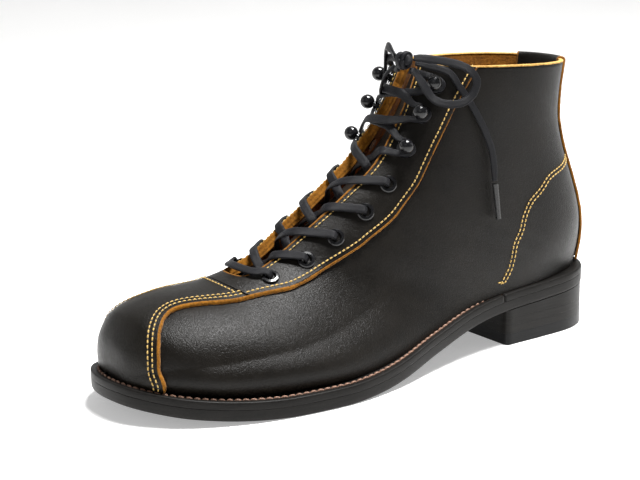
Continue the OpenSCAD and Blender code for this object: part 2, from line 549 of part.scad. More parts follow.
// from hook k on side s across the throat to the next hook
function cross_over(s, k, f) =
  let (a = HOOKS[k][0], b = HOOKS[k + 1][0], um = mix(a, b, 0.5))
  let (first = s * (k % 2 == 0 ? -1 : 1) > 0)
  [stop(mix(a, b, 0.44), s * 0.06, first ? HELD + 1.9 : HELD - 0.9, f, lace_w, lace_t),
   stop(um, 0, first ? HELD + 2 : HELD - 1, f, lace_w, lace_t),
   stop(mix(a, b, 0.56), -s * 0.06, first ? HELD + 1.9 : HELD - 0.9, f, lace_w, lace_t)];
KNOT = [12 * kx, 22 * ky, collar_height + 8];
module lace() {
  color([0.10, 0.10, 0.11]) {
    half_p = concat(through(1, 0, 1), pass(1, 0, -1), through(-1, 1, -1), pass(-1, 1, 1), through(1, 2, 1),
      pass(1, 2, -1), through(-1, 3, -1), pass(-1, 3, 1), through(1, 4, 1), pass(1, 4, -1),
      round_hook(-1, 0, -1), cross_over(-1, 0, -1), round_hook(1, 1, -1), cross_over(1, 1, -1),
      round_hook(-1, 2, -1), [[KNOT + [-4.4, 0.2, -4.6], [-0.3, -0.9, 0.2], lace_w * 0.7, lace_t]]);
    half_m = concat(through(-1, 0, 1), pass(-1, 0, -1), through(1, 1, -1), pass(1, 1, 1), through(-1, 2, 1),
      pass(-1, 2, -1), through(1, 3, -1), pass(1, 3, 1), through(-1, 4, 1), pass(-1, 4, -1),
      round_hook(1, 0, -1), cross_over(1, 0, -1), round_hook(-1, 1, -1), cross_over(-1, 1, -1),
      round_hook(1, 2, -1), [[KNOT + [3, 1.6, -5], [0.3, -0.9, 0.2], lace_w * 0.7, lace_t]]);
    n = len(half_m);
    bar = [stop(0.415, -0.1, OVER + 0.9, 1, lace_w, lace_t), stop(0.41, 0, OVER + 1.2, 1, lace_w, lace_t),
      stop(0.415, 0.1, OVER + 0.9, 1, lace_w, lace_t)];
    back = [for (k = [n - 1:-1:0]) half_m[k]];
    // the half that runs towards the knot the other way keeps the same broad side out
    strip(concat(back, bar, half_p), 2);
  }
}
// ---- bow: a knot and two loops, and two hanging ends ----
NEAR_LOOP = [[5.6, 2.2, 1.6], [10, 6, 1.4], [18, 15, -0.5], [23, 21.5, -3], [26, 25.5, -7], [27.2, 26.5, -12],
  [26.4, 23.5, -18], [24, 18, -21.5], [20, 11.5, -21.5], [15.5, 6.5, -18.5], [11, 3.6, -11], [5.8, 1.4, -4]];
FAR_LOOP = [[-5.4, -1.6, 2], [-10, -1.2, 5.4], [-17, 2, 6], [-24, 6.5, 1.6], [-28.5, 9.5, -6], [-29, 8.5, -14],
  [-25, 4, -18.5], [-18.5, -1, -15.5], [-11.5, -3.6, -8.5], [-5.6, -2.2, -3.2]];
END_LEFT = [[3.6, 4.8, -1.5], [7, 12, -3.6], [11.6, 20.8, -7], [15.7, 24.6, -14.5], [18.5, 28.8, -22],
  [20.6, 34.2, -32], [21.5, 38, -40], [22.1, 41.5, -49], [22.3, 43, -58], [22.4, 43.6, -66]];
END_RIGHT = [[-3.6, 4.2, -1.6], [-12, 4.5, -0.6], [-21.5, 7.5, -0.6], [-30.5, 12, -2.6], [-36, 19, -7],
  [-39.8, 24.4, -14.7], [-42.8, 28.8, -22], [-44.9, 34.2, -32], [-45.9, 37.8, -40], [-46.5, 41, -49],
  [-46.8, 42.4, -58]];
AGLET_LEFT = [[22.4, 43.8, -67.6], [23, 46, -87]];
AGLET_RIGHT = [[-46.9, 42.7, -59.6], [-47.3, 45, -79]];
function tape(pts, out, w) = [for (i = [0:len(pts) - 1])
  [KNOT + pts[i], unit(out), w * (i == 0 || i == len(pts) - 1 ? 0.7 : 1), lace_t]];
module lace_bow() {
  color([0.10, 0.10, 0.11]) {
    strip([for (a = [-4.6, -3, 0, 3, 4.6]) [KNOT + [0.9 * a, 0.35 * a, 0.2 * a], [0.35, -0.9, 0.2],
      abs(a) > 4 ? 3.6 : 6.4, abs(a) > 4 ? 2.4 : 4]], 3);
    strip(tape(NEAR_LOOP, [0.92, -0.4, 0.25], lace_w), 3);
    strip(tape(FAR_LOOP, [-0.75, -0.65, 0.25], lace_w), 3);
  }
}
module lace_end_left() {
  color([0.10, 0.10, 0.11]) strip(tape(END_LEFT, [0.96, -0.28, 0.1], lace_w * 0.76), 3);
}
module lace_end_right() {
  color([0.10, 0.10, 0.11]) strip(tape(END_RIGHT, [-0.96, -0.28, 0.1], lace_w * 0.76), 3);
}
module aglet(p) {
  a = KNOT + p[0];
  b = KNOT + p[1];
  stand(a, unit(b - a)) cylinder(r1 = aglet_r, r2 = aglet_r * 0.8, h = norm(b - a), $fn = 24);
}
module aglet_left() {
  color([0.05, 0.05, 0.05]) aglet(AGLET_LEFT);
}
module aglet_right() {
  color([0.05, 0.05, 0.05]) aglet(AGLET_RIGHT);
}
module eyelet_left_1() {
  eyelet(1, 0);
}
module eyelet_left_2() {
  eyelet(1, 1);
}
module eyelet_left_3() {
  eyelet(1, 2);
}
module eyelet_left_4() {
  eyelet(1, 3);
}
module eyelet_left_5() {
  eyelet(1, 4);
}
module eyelet_right_1() {
  eyelet(-1, 0);
}
module eyelet_right_2() {
  eyelet(-1, 1);
}
module eyelet_right_3() {
  eyelet(-1, 2);
}
module eyelet_right_4() {
  eyelet(-1, 3);
}
module eyelet_right_5() {
  eyelet(-1, 4);
}
module hook_left_1() {
  hook(1, 0);
}
module hook_left_2() {
  hook(1, 1);
}
module hook_left_3() {
  hook(1, 2);
}
module hook_right_1() {
  hook(-1, 0);
}
module hook_right_2() {
  hook(-1, 1);
}
module hook_right_3() {
  hook(-1, 2);
}

centred() outsole();
centred() welt();
centred() heel_rand();
centred() heel_lift_1();
centred() heel_lift_2();
centred() heel_lift_3();
centred() top_lift();
centred() heel_nails();
centred() insole();
centred() insole_rib();
centred() cork_filler();
centred() shank();
centred() sock_liner();
centred() toe_cap();
centred() toe_puff();
centred() eyestay();
centred() facing_stay_left();
centred() facing_stay_right();
centred() quarter_left();
centred() quarter_right();
centred() backstay();
centred() heel_counter();
centred() counter_lining();
centred() tongue();
centred() tongue_facing();
centred() eyelet_left_1();
centred() eyelet_left_2();
centred() eyelet_left_3();
centred() eyelet_left_4();
centred() eyelet_left_5();
centred() eyelet_right_1();
centred() eyelet_right_2();
centred() eyelet_right_3();
centred() eyelet_right_4();
centred() eyelet_right_5();
centred() hook_left_1();
centred() hook_left_2();
centred() hook_left_3();
centred() hook_right_1();
centred() hook_right_2();
centred() hook_right_3();
centred() lace();
centred() lace_bow();
centred() lace_end_left();
centred() lace_end_right();
centred() aglet_left();
centred() aglet_right();
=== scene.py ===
"""Looks of the laced leather ankle boot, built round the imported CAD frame. Metres; the toe points to -Y."""
import json
import math
import random

import bmesh
import bpy
import numpy as np
from mathutils import Matrix, Vector

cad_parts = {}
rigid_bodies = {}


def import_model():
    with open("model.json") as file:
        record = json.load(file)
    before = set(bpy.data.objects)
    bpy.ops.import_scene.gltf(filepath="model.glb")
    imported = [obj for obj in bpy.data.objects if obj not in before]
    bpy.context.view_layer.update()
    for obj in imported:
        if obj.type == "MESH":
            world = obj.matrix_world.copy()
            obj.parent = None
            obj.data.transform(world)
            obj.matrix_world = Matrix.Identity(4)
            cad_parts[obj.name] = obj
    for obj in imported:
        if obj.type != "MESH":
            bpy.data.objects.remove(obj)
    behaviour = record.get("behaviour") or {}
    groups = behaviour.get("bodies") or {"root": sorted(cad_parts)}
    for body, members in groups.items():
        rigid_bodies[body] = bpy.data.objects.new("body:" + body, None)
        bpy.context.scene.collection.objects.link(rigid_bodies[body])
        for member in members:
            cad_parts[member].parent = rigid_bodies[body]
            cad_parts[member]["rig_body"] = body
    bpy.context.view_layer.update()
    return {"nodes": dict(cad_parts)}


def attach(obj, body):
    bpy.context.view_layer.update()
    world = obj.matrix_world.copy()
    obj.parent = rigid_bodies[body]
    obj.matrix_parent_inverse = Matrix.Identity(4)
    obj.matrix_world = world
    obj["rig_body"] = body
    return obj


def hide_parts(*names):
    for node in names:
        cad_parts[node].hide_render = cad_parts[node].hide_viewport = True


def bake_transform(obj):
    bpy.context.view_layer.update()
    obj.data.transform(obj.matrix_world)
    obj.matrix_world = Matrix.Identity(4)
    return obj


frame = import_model()
NODES = frame["nodes"]
rng = random.Random(7)
MM = 0.001
CENTRE = np.array([-2.75, -0.6, 0.0])  # the CAD model is moved by this much, to stand over its origin

# ---------------------------------------------------------------- driving sizes, in millimetres
TOE_SPRING, HEEL_H, OUTSOLE_T, WELT_T = 9.0, 20.0, 6.0, 4.0
SOLE_T = OUTSOLE_T + WELT_T
HEEL_BACK = HEEL_H + 5
SEAT_Z = HEEL_BACK + SOLE_T
COLLAR_H = 153.0
SHAFT_H = COLLAR_H - SEAT_Z
LEATHER, GAP = 2.0, 0.3
TOP = GAP + LEATHER - 0.2  # outer face of the toe cap and the eyestay over the quarters
LACE_W, LACE_T = 5.0, 1.5
UNDER = -LEATHER - GAP - 1.2 - LACE_T / 2 - 0.4
OVER = TOP + LACE_T / 2 + 0.5
HELD = TOP + 2.45
NARROW, THICK = 3.2, LACE_T * 1.25
TAIL_W, LOOP_W = LACE_W * 0.76, LACE_W * 0.86
TONGUE_TOP = -LEATHER - GAP - 1.2 - LACE_T - 1.9
PITCH, STITCH_L, STITCH_R = 2.6, 1.95, 0.38  # upper stitching: step, length and radius of a stitch
TONGUE_END = 0.985  # station where the visible tongue stops, just under the collar
PAST_COLLAR = 370  # millimetres for each unit of station past the collar
HEEL_TIP, SQUARENESS = 149, 2.3  # back of the seat, and the power of the rounded plan of the shaft
CAMERA_AZ = math.radians(56.0)


# ---------------------------------------------------------------- curves
class Curve:
    """A smooth curve through (key, value) pairs; a value is a number or a point."""

    def __init__(self, pairs):
        self.k = np.array([p[0] for p in pairs], float)
        v = np.array([p[1] for p in pairs], float)
        self.v = v if v.ndim > 1 else v[:, None]
        self.flat = v.ndim == 1
        n = len(self.k)
        lo = np.maximum(np.arange(n) - 1, 0)
        hi = np.minimum(np.arange(n) + 1, n - 1)
        self.m = (self.v[hi] - self.v[lo]) / (self.k[hi] - self.k[lo])[:, None]

    def __call__(self, t):
        t = np.clip(np.asarray(t, float), self.k[0], self.k[-1])
        i = np.clip(np.searchsorted(self.k, t, side="right") - 1, 0, len(self.k) - 2)
        h = (self.k[i + 1] - self.k[i])[..., None]
        s = (t - self.k[i])[..., None] / h
        s2, s3 = s * s, s * s * s
        out = (self.v[i] * (2 * s3 - 3 * s2 + 1) + self.m[i] * h * (s3 - 2 * s2 + s)
               + self.v[i + 1] * (3 * s2 - 2 * s3) + self.m[i + 1] * h * (s3 - s2))
        return out[..., 0] if self.flat else out


def keyed(points):
    """Curve through points, keyed from 0 to 1 by the length between them."""
    p = np.array(points, float)
    d = np.concatenate([[0], np.cumsum(np.linalg.norm(np.diff(p, axis=0), axis=1))])
    return Curve(list(zip(d / d[-1], p)))


def smooth(a, b, x):
    t = np.clip((np.asarray(x, float) - a) / (b - a), 0, 1)
    return t * t * (3 - 2 * t)


def mix(a, b, t):
    return a + (b - a) * t


def unit(v):
    v = np.asarray(v, float)
    return v / np.maximum(np.linalg.norm(v, axis=-1, keepdims=True), 1e-9)


def soft_noise(p, scale, seed=0):
    """Smooth wavy noise about -1 to 1 at points p, from a few crossing waves of about that size."""
    r = np.random.RandomState(seed)
    out = np.zeros(p.shape[:-1])
    for _ in range(7):
        d = unit(r.normal(size=3)) * (2 * math.pi / scale) * r.uniform(0.6, 1.5)
        out += np.sin(p @ d + r.uniform(0, 6.28)) * 0.32
    return out


# ---------------------------------------------------------------- the boot's shape
LIFT = Curve([(-150, TOE_SPRING), (-128, TOE_SPRING * 0.52), (-104, TOE_SPRING * 0.18), (-78, 0), (-45, 0),
              (-15, HEEL_H * 0.12), (20, HEEL_H * 0.48), (52, HEEL_H * 0.84), (76, HEEL_H),
              (110, HEEL_H + 2.2), (150, HEEL_BACK)])
SOLE = [(0, 151), (21.3, 143.8), (31.4, 128), (33.6, 104), (34.2, 78), (37, 50), (43.6, 20), (52, -9),
        (57, -37), (56.6, -62), (52.5, -88), (44.6, -111), (32, -131.5), (12, -147), (-12, -151),
        (-31, -144.5), (-45.5, -127), (-50, -106), (-51.5, -85), (-50.5, -60), (-45, -35), (-37.5, -10),
        (-33, 20), (-31.5, 50), (-33.6, 78), (-33.6, 104), (-31.4, 128), (-21.3, 143.8)]
OUTER = keyed([(-11, -143.5), (8, -141), (24, -129.5), (37, -110), (44.5, -87), (49, -62), (50, -38),
               (46, -10), (38.5, 20), (33, 50), (31.5, 80)])
INNER = keyed([(-11, -143.5), (-27, -138.5), (-38.5, -122), (-43.5, -104), (-45, -85), (-44, -60),
               (-39, -35), (-33, -10), (-28.5, 20), (-28.5, 50), (-31, 80)])
CREST = keyed([(-143, 0.4), (-143.8, 10), (-142.2, 20), (-135, 31), (-115.5, 39.8), (-89, 44.6), (-62, 53.6),
               (-38, 68.4), (-16, 82.5), (-1, 90.9), (9, 99), (18.5, 107.3), (26, 116), (31.5, 123.7),
               (36.5, 133.5)])
BACK = Curve([(0, 149), (13, 150.3), (31, 148.6), (51, 142), (70, 134.5), (87, 130.3), (104, 130.7),
              (118, 132.7)])
LEAN = Curve([(-150, -11), (-110, -9.5), (-60, -6), (0, -2), (40, 0)])
GIRTH = Curve([(-5, 31.5), (10, 33), (25, 33.5), (55, 33), (85, 33.5), (115, 35.5), (155, 38)])
ROUND = Curve([(-5, 69), (3, 69), (20, 52), (40, 44), (65, 42), (115, 46), (155, 50)])
FULL = Curve([(0, 2), (0.12, 2.2), (0.3, 2.2), (0.45, 2.5), (0.6, 3.6), (0.75, 5), (0.85, 4.5), (1, 3.4)])
EDGE = Curve([(0.083, 1), (0.087, 0.79), (0.095, 0.565), (0.112, 0.412), (0.139, 0.281), (0.164, 0.206),
              (0.191, 0.156), (0.218, 0.137), (0.26, 0.146), (0.3, 0.166), (0.335, 0.188), (0.374, 0.208),
              (0.404, 0.235), (0.436, 0.266), (0.52, 0.29), (0.58, 0.297), (0.622, 0.288), (0.667, 0.278),
              (0.726, 0.256), (0.776, 0.245), (0.811, 0.243), (0.851, 0.245), (0.887, 0.254), (0.942, 0.275),
              (1, 0.312)])
TUCK = Curve([(0.06, 1), (0.065, 0.78), (0.076, 0.52), (0.092, 0.35), (0.115, 0.22), (0.145, 0.13),
              (0.19, 0.08), (0.25, 0.06), (0.35, 0.055), (0.392, 0.05)])
THROAT = Curve([(0.392, 0.05), (0.4, 0.085), (0.42, 0.097), (0.5, 0.098), (0.6, 0.096), (0.74, 0.09),
                (0.8, 0.088), (0.85, 0.078), (0.9, 0.07), (0.95, 0.06), (1, 0.055)])
CAP_END, RIM, UB, UH = 0.354, 0.985, 0.6, 0.78
EYES = [(0.428, 0.171), (0.505, 0.21), (0.581, 0.211), (0.661, 0.2), (0.742, 0.176)]
HOOKS = [(0.824, 0.158), (0.9, 0.156), (0.962, 0.17)]
HOLES = EYES + HOOKS


def feather(y):
    return LIFT(y) + SOLE_T


def half(side, u, w):
    """Points on one side: station u along the crest, w from 0 at the welt or the back to 1 at the crest."""
    u, w = np.broadcast_arrays(np.asarray(u, float), np.asarray(w, float))
    f = CREST(np.minimum(u, 1))
    fx, fy = LEAN(f[..., 0]), f[..., 0]
    fz = feather(fy) + f[..., 1]
    edge = OUTER if side > 0 else INNER
    last = edge.v[-1]
    o = edge(u / UB)
    c = np.cos(math.pi / 2 * (1 - np.clip((u - UB) / (UH - UB), 0, 1))) ** (2 / SQUARENESS)
    heel_y = HEEL_TIP - (HEEL_TIP - last[1]) * (1 - c)
    hb = np.clip((u - UH) / (1 - UH), 0, 1) * SHAFT_H
    low, seat = u <= UB, u <= UH
    ry = np.where(low, o[..., 1], np.where(seat, heel_y, BACK(hb)))
    rz = np.where(seat, feather(ry), SEAT_Z + hb)
    cx = np.where(low, LEAN(o[..., 1]), 0)
    rx = np.where(low, np.abs(o[..., 0] - cx), abs(last[0]))
    t = 0.5 - 0.5 * np.cos(math.pi * w)
    y, z = mix(ry, fy, t), mix(rz, fz, t)
    h = z - SEAT_Z
    db = BACK(np.maximum(h, 0)) - y
    fall = (1 - (1 - np.clip(db / ROUND(h), 0, 1)) ** SQUARENESS) ** (1 / SQUARENESS)
    lo = rx * (1 + 0.06 * np.sin(math.pi * np.clip(t / 0.45, 0, 1)))
    hi = GIRTH(h) * mix(rx / 31.5, 1, smooth(0, 40, h))
    g = (1 - np.minimum(t, 1) ** FULL(u)) ** (1 / 2.15)
    x = cx + (fx - cx) * t + side * mix(lo, hi, smooth(0, 80, ry)) * fall * g
    return np.stack([x, y, z], -1)


def skin(u, v):
    u, v = np.broadcast_arrays(np.asarray(u, float), np.asarray(v, float))
    a, b = half(1, u, 1 - np.abs(v)), half(-1, u, 1 - np.abs(v))
    return np.where((v >= 0)[..., None], a, b)


def skin_normal(u, v):
    u, v = np.broadcast_arrays(np.asarray(u, float), np.asarray(v, float))
    uu, side, e = np.clip(u, 0.002, 1), np.where(v >= 0, 1, -1), 0.006
    du = skin(np.minimum(uu + e, 1), v) - skin(np.maximum(uu - e, 0.002), v)
    w = 1 - np.abs(v)
    w1, w0 = np.minimum(w + 0.02, 1), np.maximum(w - 0.02, 0)
    dw = (skin(uu, side * (1 - w1 + 1e-7)) - skin(uu, side * (1 - w0 + 1e-7))) * side[..., None]
    n = unit(np.cross(du, dw))
    n[..., 0] *= smooth(0, 0.03, np.abs(v))
    return unit(n)


def at(u, v, d):
    """Point at station u and sideways place v (1 outer welt, 0 crest, -1 inner welt), d above the leather."""
    u, v, d = np.broadcast_arrays(np.asarray(u, float), np.asarray(v, float), np.asarray(d, float))
    p = skin(np.minimum(u, 1), v) + skin_normal(u, v) * d[..., None]
    up = unit(skin(np.full(u.shape, 1.0), v) - skin(np.full(u.shape, 0.988), v))
    p = p + up * (np.maximum(u - 1, 0) * PAST_COLLAR)[..., None]
    p[..., 2] = np.maximum(p[..., 2], feather(p[..., 1]) + 0.06)
    return p


# ---------------------------------------------------------------- mesh helpers
def world(p):
    return (np.asarray(p, float) + CENTRE) * MM


def link(name, data):
    ob = bpy.data.objects.new(name, data)
    bpy.context.scene.collection.objects.link(ob)
    return ob


def new_mesh(name, verts, faces, mats, index=None, body="boot", replace=(), slot=None):
    me = bpy.data.meshes.new(name)
    me.from_pydata([tuple(v) for v in world(verts)], [], faces)
    for m in mats:
        me.materials.append(m)
    if index is not None:
        me.polygons.foreach_set("material_index", index)
    me.polygons.foreach_set("use_smooth", [True] * len(me.polygons))
    me.validate()
    me.update()
    ob = link(name, me)
    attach(ob, body)
    if replace:
        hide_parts(*replace)
    return ob


class Build:
    """Gathers grids and strips of points into one mesh with a material for each."""

    def __init__(self):
        self.v, self.f, self.m, self.n = [], [], [], 0

    def grid(self, pts, mat=0, wrap=False):
        """pts is rows x columns x 3; wrap joins the last column to the first."""
        pts = np.asarray(pts, float)
        r, c = pts.shape[:2]
        self.v.append(pts.reshape(-1, 3))
        for i in range(r - 1):
            for j in range(c if wrap else c - 1):
                k = (j + 1) % c
                q = [i * c + j, i * c + k, (i + 1) * c + k, (i + 1) * c + j]
                self.f.append([self.n + a for a in q])
                self.m.append(mat)
        self.n += r * c

    def make(self, name, mats, weld=1e-5, **kw):
        ob = new_mesh(name, np.concatenate(self.v), self.f, mats, self.m, **kw)
        bm = bmesh.new()
        bm.from_mesh(ob.data)
        bmesh.ops.remove_doubles(bm, verts=bm.verts, dist=weld)
        bmesh.ops.recalc_face_normals(bm, faces=bm.faces)
        bm.to_mesh(ob.data)
        bm.free()
        return ob


def frames(path):
    """Tangents along a path of points."""
    return unit(np.gradient(path, axis=0))


def resample(path, extra, step):
    """Even points along a path, and the extra arrays taken along with it."""
    d = np.concatenate([[0], np.cumsum(np.linalg.norm(np.diff(path, axis=0), axis=1))])
    n = max(int(round(d[-1] / step)), 1)
    s = np.linspace(0, d[-1], n + 1)
    pick = lambda a: np.stack([np.interp(s, d, a[:, k]) for k in range(a.shape[1])], -1)
    return pick(path), [pick(e) for e in extra]


def stitches(name, paths, pitch, length, radius, mat, slot, high=0.12, slant=0.0, body="boot", hole=0.0):
    """Rows of separate stitches: each is a short thread that rises out of its hole and dips into the next.
    Where a hole radius is given, a flat near-black disc over each needle hole is painted shade where the
    thread sinks into the leather.
    """
    b, holes = Build(), Build()
    for path, normals in paths:
        p, (n,) = resample(path, [normals], pitch)
        for i in range(len(p) - 1):
            c = (p[i] + p[i + 1]) / 2
            nn, tt = unit(n[i] + n[i + 1]), unit(p[i + 1] - p[i])
            s = np.cross(tt, nn)
            tt = unit(tt + s * (slant + rng.uniform(-0.05, 0.05)))
            s = np.cross(tt, nn)
            reached = length * rng.uniform(0.94, 1.04)
            rings = []
            for k in range(7):
                a = -1 + 2 * k / 6
                bow = (1 - a * a) ** 0.5 if abs(a) < 1 else 0
                mid = c + tt * (a * reached / 2) + nn * (high + radius * (bow - 0.75) * 1.1)
                r = radius * (0.62 + 0.38 * bow)
                rings.append([mid + (s * math.cos(q) + nn * math.sin(q) * 0.8) * r
                              for q in np.linspace(0, 2 * math.pi, 9)[:-1]])
            b.grid(np.array(rings), 0, wrap=True)
            # painted shade: a flat near-black disc just above the leather at each needle hole
            if hole:
                h = p[i] + n[i] * 0.05
                q = np.linspace(0, 2 * math.pi, 9)[:-1, None]
                rim_pts = h + (tt * np.cos(q) + s * np.sin(q)) * hole
                reach = rim_pts - h
                holes.grid(np.array([rim_pts, h + reach * 0.5 + nn * 0.04, h + reach * 0.01]), 0, wrap=True)
    # the painted shade discs of the needle holes, as a mesh of their own
    if hole:
        holes.make(name + "_holes", [M["hole"]], weld=1e-7, slot="black_leather", body=body)
    return b.make(name, [mat], weld=1e-7, slot=slot, body=body)


# ---------------------------------------------------------------- camera
def make_camera():
    """Three-quarter view of the outer side from the toe, a little above the boot."""
    az, el, dist, roll = CAMERA_AZ, math.radians(14.0), 760.0, math.radians(-1.17)
    target = np.array([-8.9, -18.7, 67.2])
    back = np.array([math.sin(az) * math.cos(el), -math.cos(az) * math.cos(el), math.sin(el)])
    right = np.array([math.cos(az), math.sin(az), 0])
    up = np.cross(back, right)
    r2 = right * math.cos(roll) + up * math.sin(roll)
    u2 = up * math.cos(roll) - right * math.sin(roll)
    cam = bpy.data.cameras.new("camera")
    cam.lens, cam.sensor_width = 80.4, 36
    cam.clip_start, cam.clip_end = 0.02, 20
    ob = link("camera", cam)
    m = Matrix.Identity(4)
    for i, axis in enumerate((r2, u2, back)):
        for k in range(3):
            m[k][i] = axis[k]
    m.translation = Vector(world(target + back * dist))
    ob.matrix_world = m
    bpy.context.scene.camera = ob


# ---------------------------------------------------------------- materials
def new_material(name, rough=0.5, colour=(0.1, 0.1, 0.1)):
    mat = bpy.data.materials.new(name)
    mat.use_nodes = True
    nt = mat.node_tree
    bsdf = nt.nodes["Principled BSDF"]
    bsdf.inputs["Roughness"].default_value = rough
    bsdf.inputs["Base Color"].default_value = (*colour, 1)
    return mat, nt, bsdf


def node(nt, kind, inputs=None, **attrs):
    n = nt.nodes.new(kind)
    for k, v in attrs.items():
        setattr(n, k, v)
    for k, v in (inputs or {}).items():
        if isinstance(v, bpy.types.NodeSocket):
            nt.links.new(v, n.inputs[k])
        else:
            n.inputs[k].default_value = v
    return n


def place(nt):
    return nt.nodes.get("Texture Coordinate") or node(nt, "ShaderNodeTexCoord")


def source(nt, squeeze):
    src = place(nt).outputs["Object"]
    if squeeze:
        src = node(nt, "ShaderNodeMapping", {"Vector": src, "Scale": squeeze}).outputs["Vector"]
    return src


def noise(nt, scale, detail=3, rough=0.5, squeeze=None):
    inputs = {"Vector": source(nt, squeeze), "Scale": scale, "Detail": detail, "Roughness": rough}
    return node(nt, "ShaderNodeTexNoise", inputs).outputs["Fac"]


def cells(nt, scale, squeeze=None):
    inputs = {"Vector": source(nt, squeeze), "Scale": scale}
    return node(nt, "ShaderNodeTexVoronoi", inputs, feature="DISTANCE_TO_EDGE").outputs["Distance"]


def ramp(nt, fac, stops):
    r = node(nt, "ShaderNodeValToRGB", {"Fac": fac})
    els = r.color_ramp.elements
    while len(els) < len(stops):
        els.new(0.5)
    for e, (pos, col) in zip(els, stops):
        e.position = pos
        e.color = (*col, 1) if len(col) == 3 else col
    return r.outputs["Color"]


def span(nt, fac, lo, hi, a=0.0, b=1.0):
    return node(nt, "ShaderNodeMapRange", {"Value": fac, "From Min": lo, "From Max": hi, "To Min": a,
                                           "To Max": b}).outputs["Result"]


def calc(nt, op, a, b):
    return node(nt, "ShaderNodeMath", {0: a, 1: b}, operation=op).outputs["Value"]


def weigh(nt, a, share_a, b, share_b):
    """Sum of two values, each with its share."""
    return calc(nt, "ADD", calc(nt, "MULTIPLY", a, share_a), calc(nt, "MULTIPLY", b, share_b))


def bump(nt, bsdf, layers):
    """Each layer is (height socket, strength, distance in metres), the first laid on the smooth surface."""
    last = None
    for h, strength, dist in layers:
        b = node(nt, "ShaderNodeBump", {"Height": h, "Strength": strength, "Distance": dist})
        if last:
            nt.links.new(last, b.inputs["Normal"])
        last = b.outputs["Normal"]
    nt.links.new(last, bsdf.inputs["Normal"])


def black_leather(name, dark, light, rough, grain=0.5, crease=0.35):
    """Near-black waxed leather: pores and fine creases in the height, a faint brown cast in the colour."""
    mat, nt, bsdf = new_material(name)
    patch = noise(nt, 26, 4, 0.6)
    cloudy = noise(nt, 120, 5, 0.65)
    tone = weigh(nt, patch, 0.6, cloudy, 0.4)
    col = ramp(nt, tone, [(0.36, dark), (0.68, light)])
    nt.links.new(col, bsdf.inputs["Base Color"])
    pores = cells(nt, 1500)
    folds = cells(nt, 420, squeeze=(1, 1.7, 1))
    fine = noise(nt, 2600, 2, 0.6)
    r = calc(nt, "ADD", span(nt, cloudy, 0.3, 0.7, rough[0], rough[1]), span(nt, pores, 0, 0.25, 0.1, 0))
    nt.links.new(r, bsdf.inputs["Roughness"])
    bump(nt, bsdf, [(span(nt, folds, 0, 0.12), crease, 0.00012), (span(nt, pores, 0, 0.3), grain, 0.0001),
                    (fine, 0.45, 0.00008), (patch, 0.25, 0.0004)])
    bsdf.inputs["Specular IOR Level"].default_value = 0.17
    return mat


def suede(name, dark, light, fibre=900, rough=0.9, high=0.0003):
    """Raw flesh side or cut edge of the leather: short fibres and darker fibre roots."""
    mat, nt, bsdf = new_material(name, rough)
    a, b = noise(nt, fibre, 5, 0.7), noise(nt, 60, 3, 0.6)
    tone = weigh(nt, a, 0.65, b, 0.35)
    nt.links.new(ramp(nt, tone, [(0.34, dark), (0.62, light)]), bsdf.inputs["Base Color"])
    bump(nt, bsdf, [(a, 0.8, high), (noise(nt, fibre * 2.4, 2, 0.6), 0.5, high * 0.5)])
    bsdf.inputs["Specular IOR Level"].default_value = 0.1
    bsdf.inputs["Sheen Weight"].default_value = 0.1
    bsdf.inputs["Sheen Roughness"].default_value = 0.5
    return mat


def thread(name, dark, light):
    """Twisted thread: slanting plies."""
    mat, nt, bsdf = new_material(name, 0.6)
    ply = noise(nt, 3200, 2, 0.5, squeeze=(1, 0.5, 1))
    nt.links.new(ramp(nt, ply, [(0.35, dark), (0.65, light)]), bsdf.inputs["Base Color"])
    bump(nt, bsdf, [(ply, 0.7, 0.00012)])
    return mat


def sole_edge(name, dark, light, rough, bumps=0.3):
    """Waxed and burnished edge of the sole or heel: faint layers along it and small marks of wear."""
    mat, nt, bsdf = new_material(name)
    streak = noise(nt, 220, 4, 0.6, squeeze=(0.25, 0.25, 5))
    marks = noise(nt, 700, 4, 0.7)
    tone = weigh(nt, streak, 0.55, marks, 0.45)
    nt.links.new(ramp(nt, tone, [(0.35, dark), (0.66, light)]), bsdf.inputs["Base Color"])
    nt.links.new(span(nt, marks, 0.3, 0.7, *rough), bsdf.inputs["Roughness"])
    bump(nt, bsdf, [(streak, 0.06, 0.0001), (marks, bumps, 0.0001)])
    bsdf.inputs["Specular IOR Level"].default_value = 0.14
    return mat


def lace_fabric(name, dark, light):
    """Waxed flat braid: a fine slanting weave with a dull shine."""
    mat, nt, bsdf = new_material(name, 0.42)
    uv = node(nt, "ShaderNodeUVMap").outputs["UV"]
    wave = []
    for sx, sy in ((1, 1), (1, -1)):
        m = node(nt, "ShaderNodeMapping", {"Vector": uv, "Scale": (sx, sy, 1)})
        w = node(nt, "ShaderNodeTexWave", {"Vector": m.outputs["Vector"], "Scale": 1.0, "Distortion": 0.4},
                 bands_direction="DIAGONAL")
        wave.append(w.outputs["Fac"])
    weave = calc(nt, "MAXIMUM", wave[0], wave[1])
    fuzz = noise(nt, 1800, 3, 0.6)
    tone = weigh(nt, weave, 0.55, fuzz, 0.45)
    nt.links.new(ramp(nt, tone, [(0.3, dark), (0.8, light)]), bsdf.inputs["Base Color"])
    bump(nt, bsdf, [(weave, 0.6, 0.00022), (fuzz, 0.3, 0.0001)])
    bsdf.inputs["Specular IOR Level"].default_value = 0.16
    return mat


def enamel(name, colour=(0.004, 0.004, 0.0045), rough=0.14):
    """Glossy black enamel on metal, with fine unevenness and dust."""
    mat, nt, bsdf = new_material(name, rough, colour)
    d = noise(nt, 900, 4, 0.6)
    dust = tuple(c * 2.2 for c in colour)
    nt.links.new(ramp(nt, d, [(0.4, colour), (0.8, dust)]), bsdf.inputs["Base Color"])
    nt.links.new(span(nt, d, 0.3, 0.75, rough * 0.8, rough * 1.9), bsdf.inputs["Roughness"])
    bump(nt, bsdf, [(noise(nt, 260, 2, 0.5), 0.12, 0.0002)])
    bsdf.inputs["Specular IOR Level"].default_value = 0.3
    bsdf.inputs["Coat Weight"].default_value = 0.2
    bsdf.inputs["Coat Roughness"].default_value = 0.08
    return mat


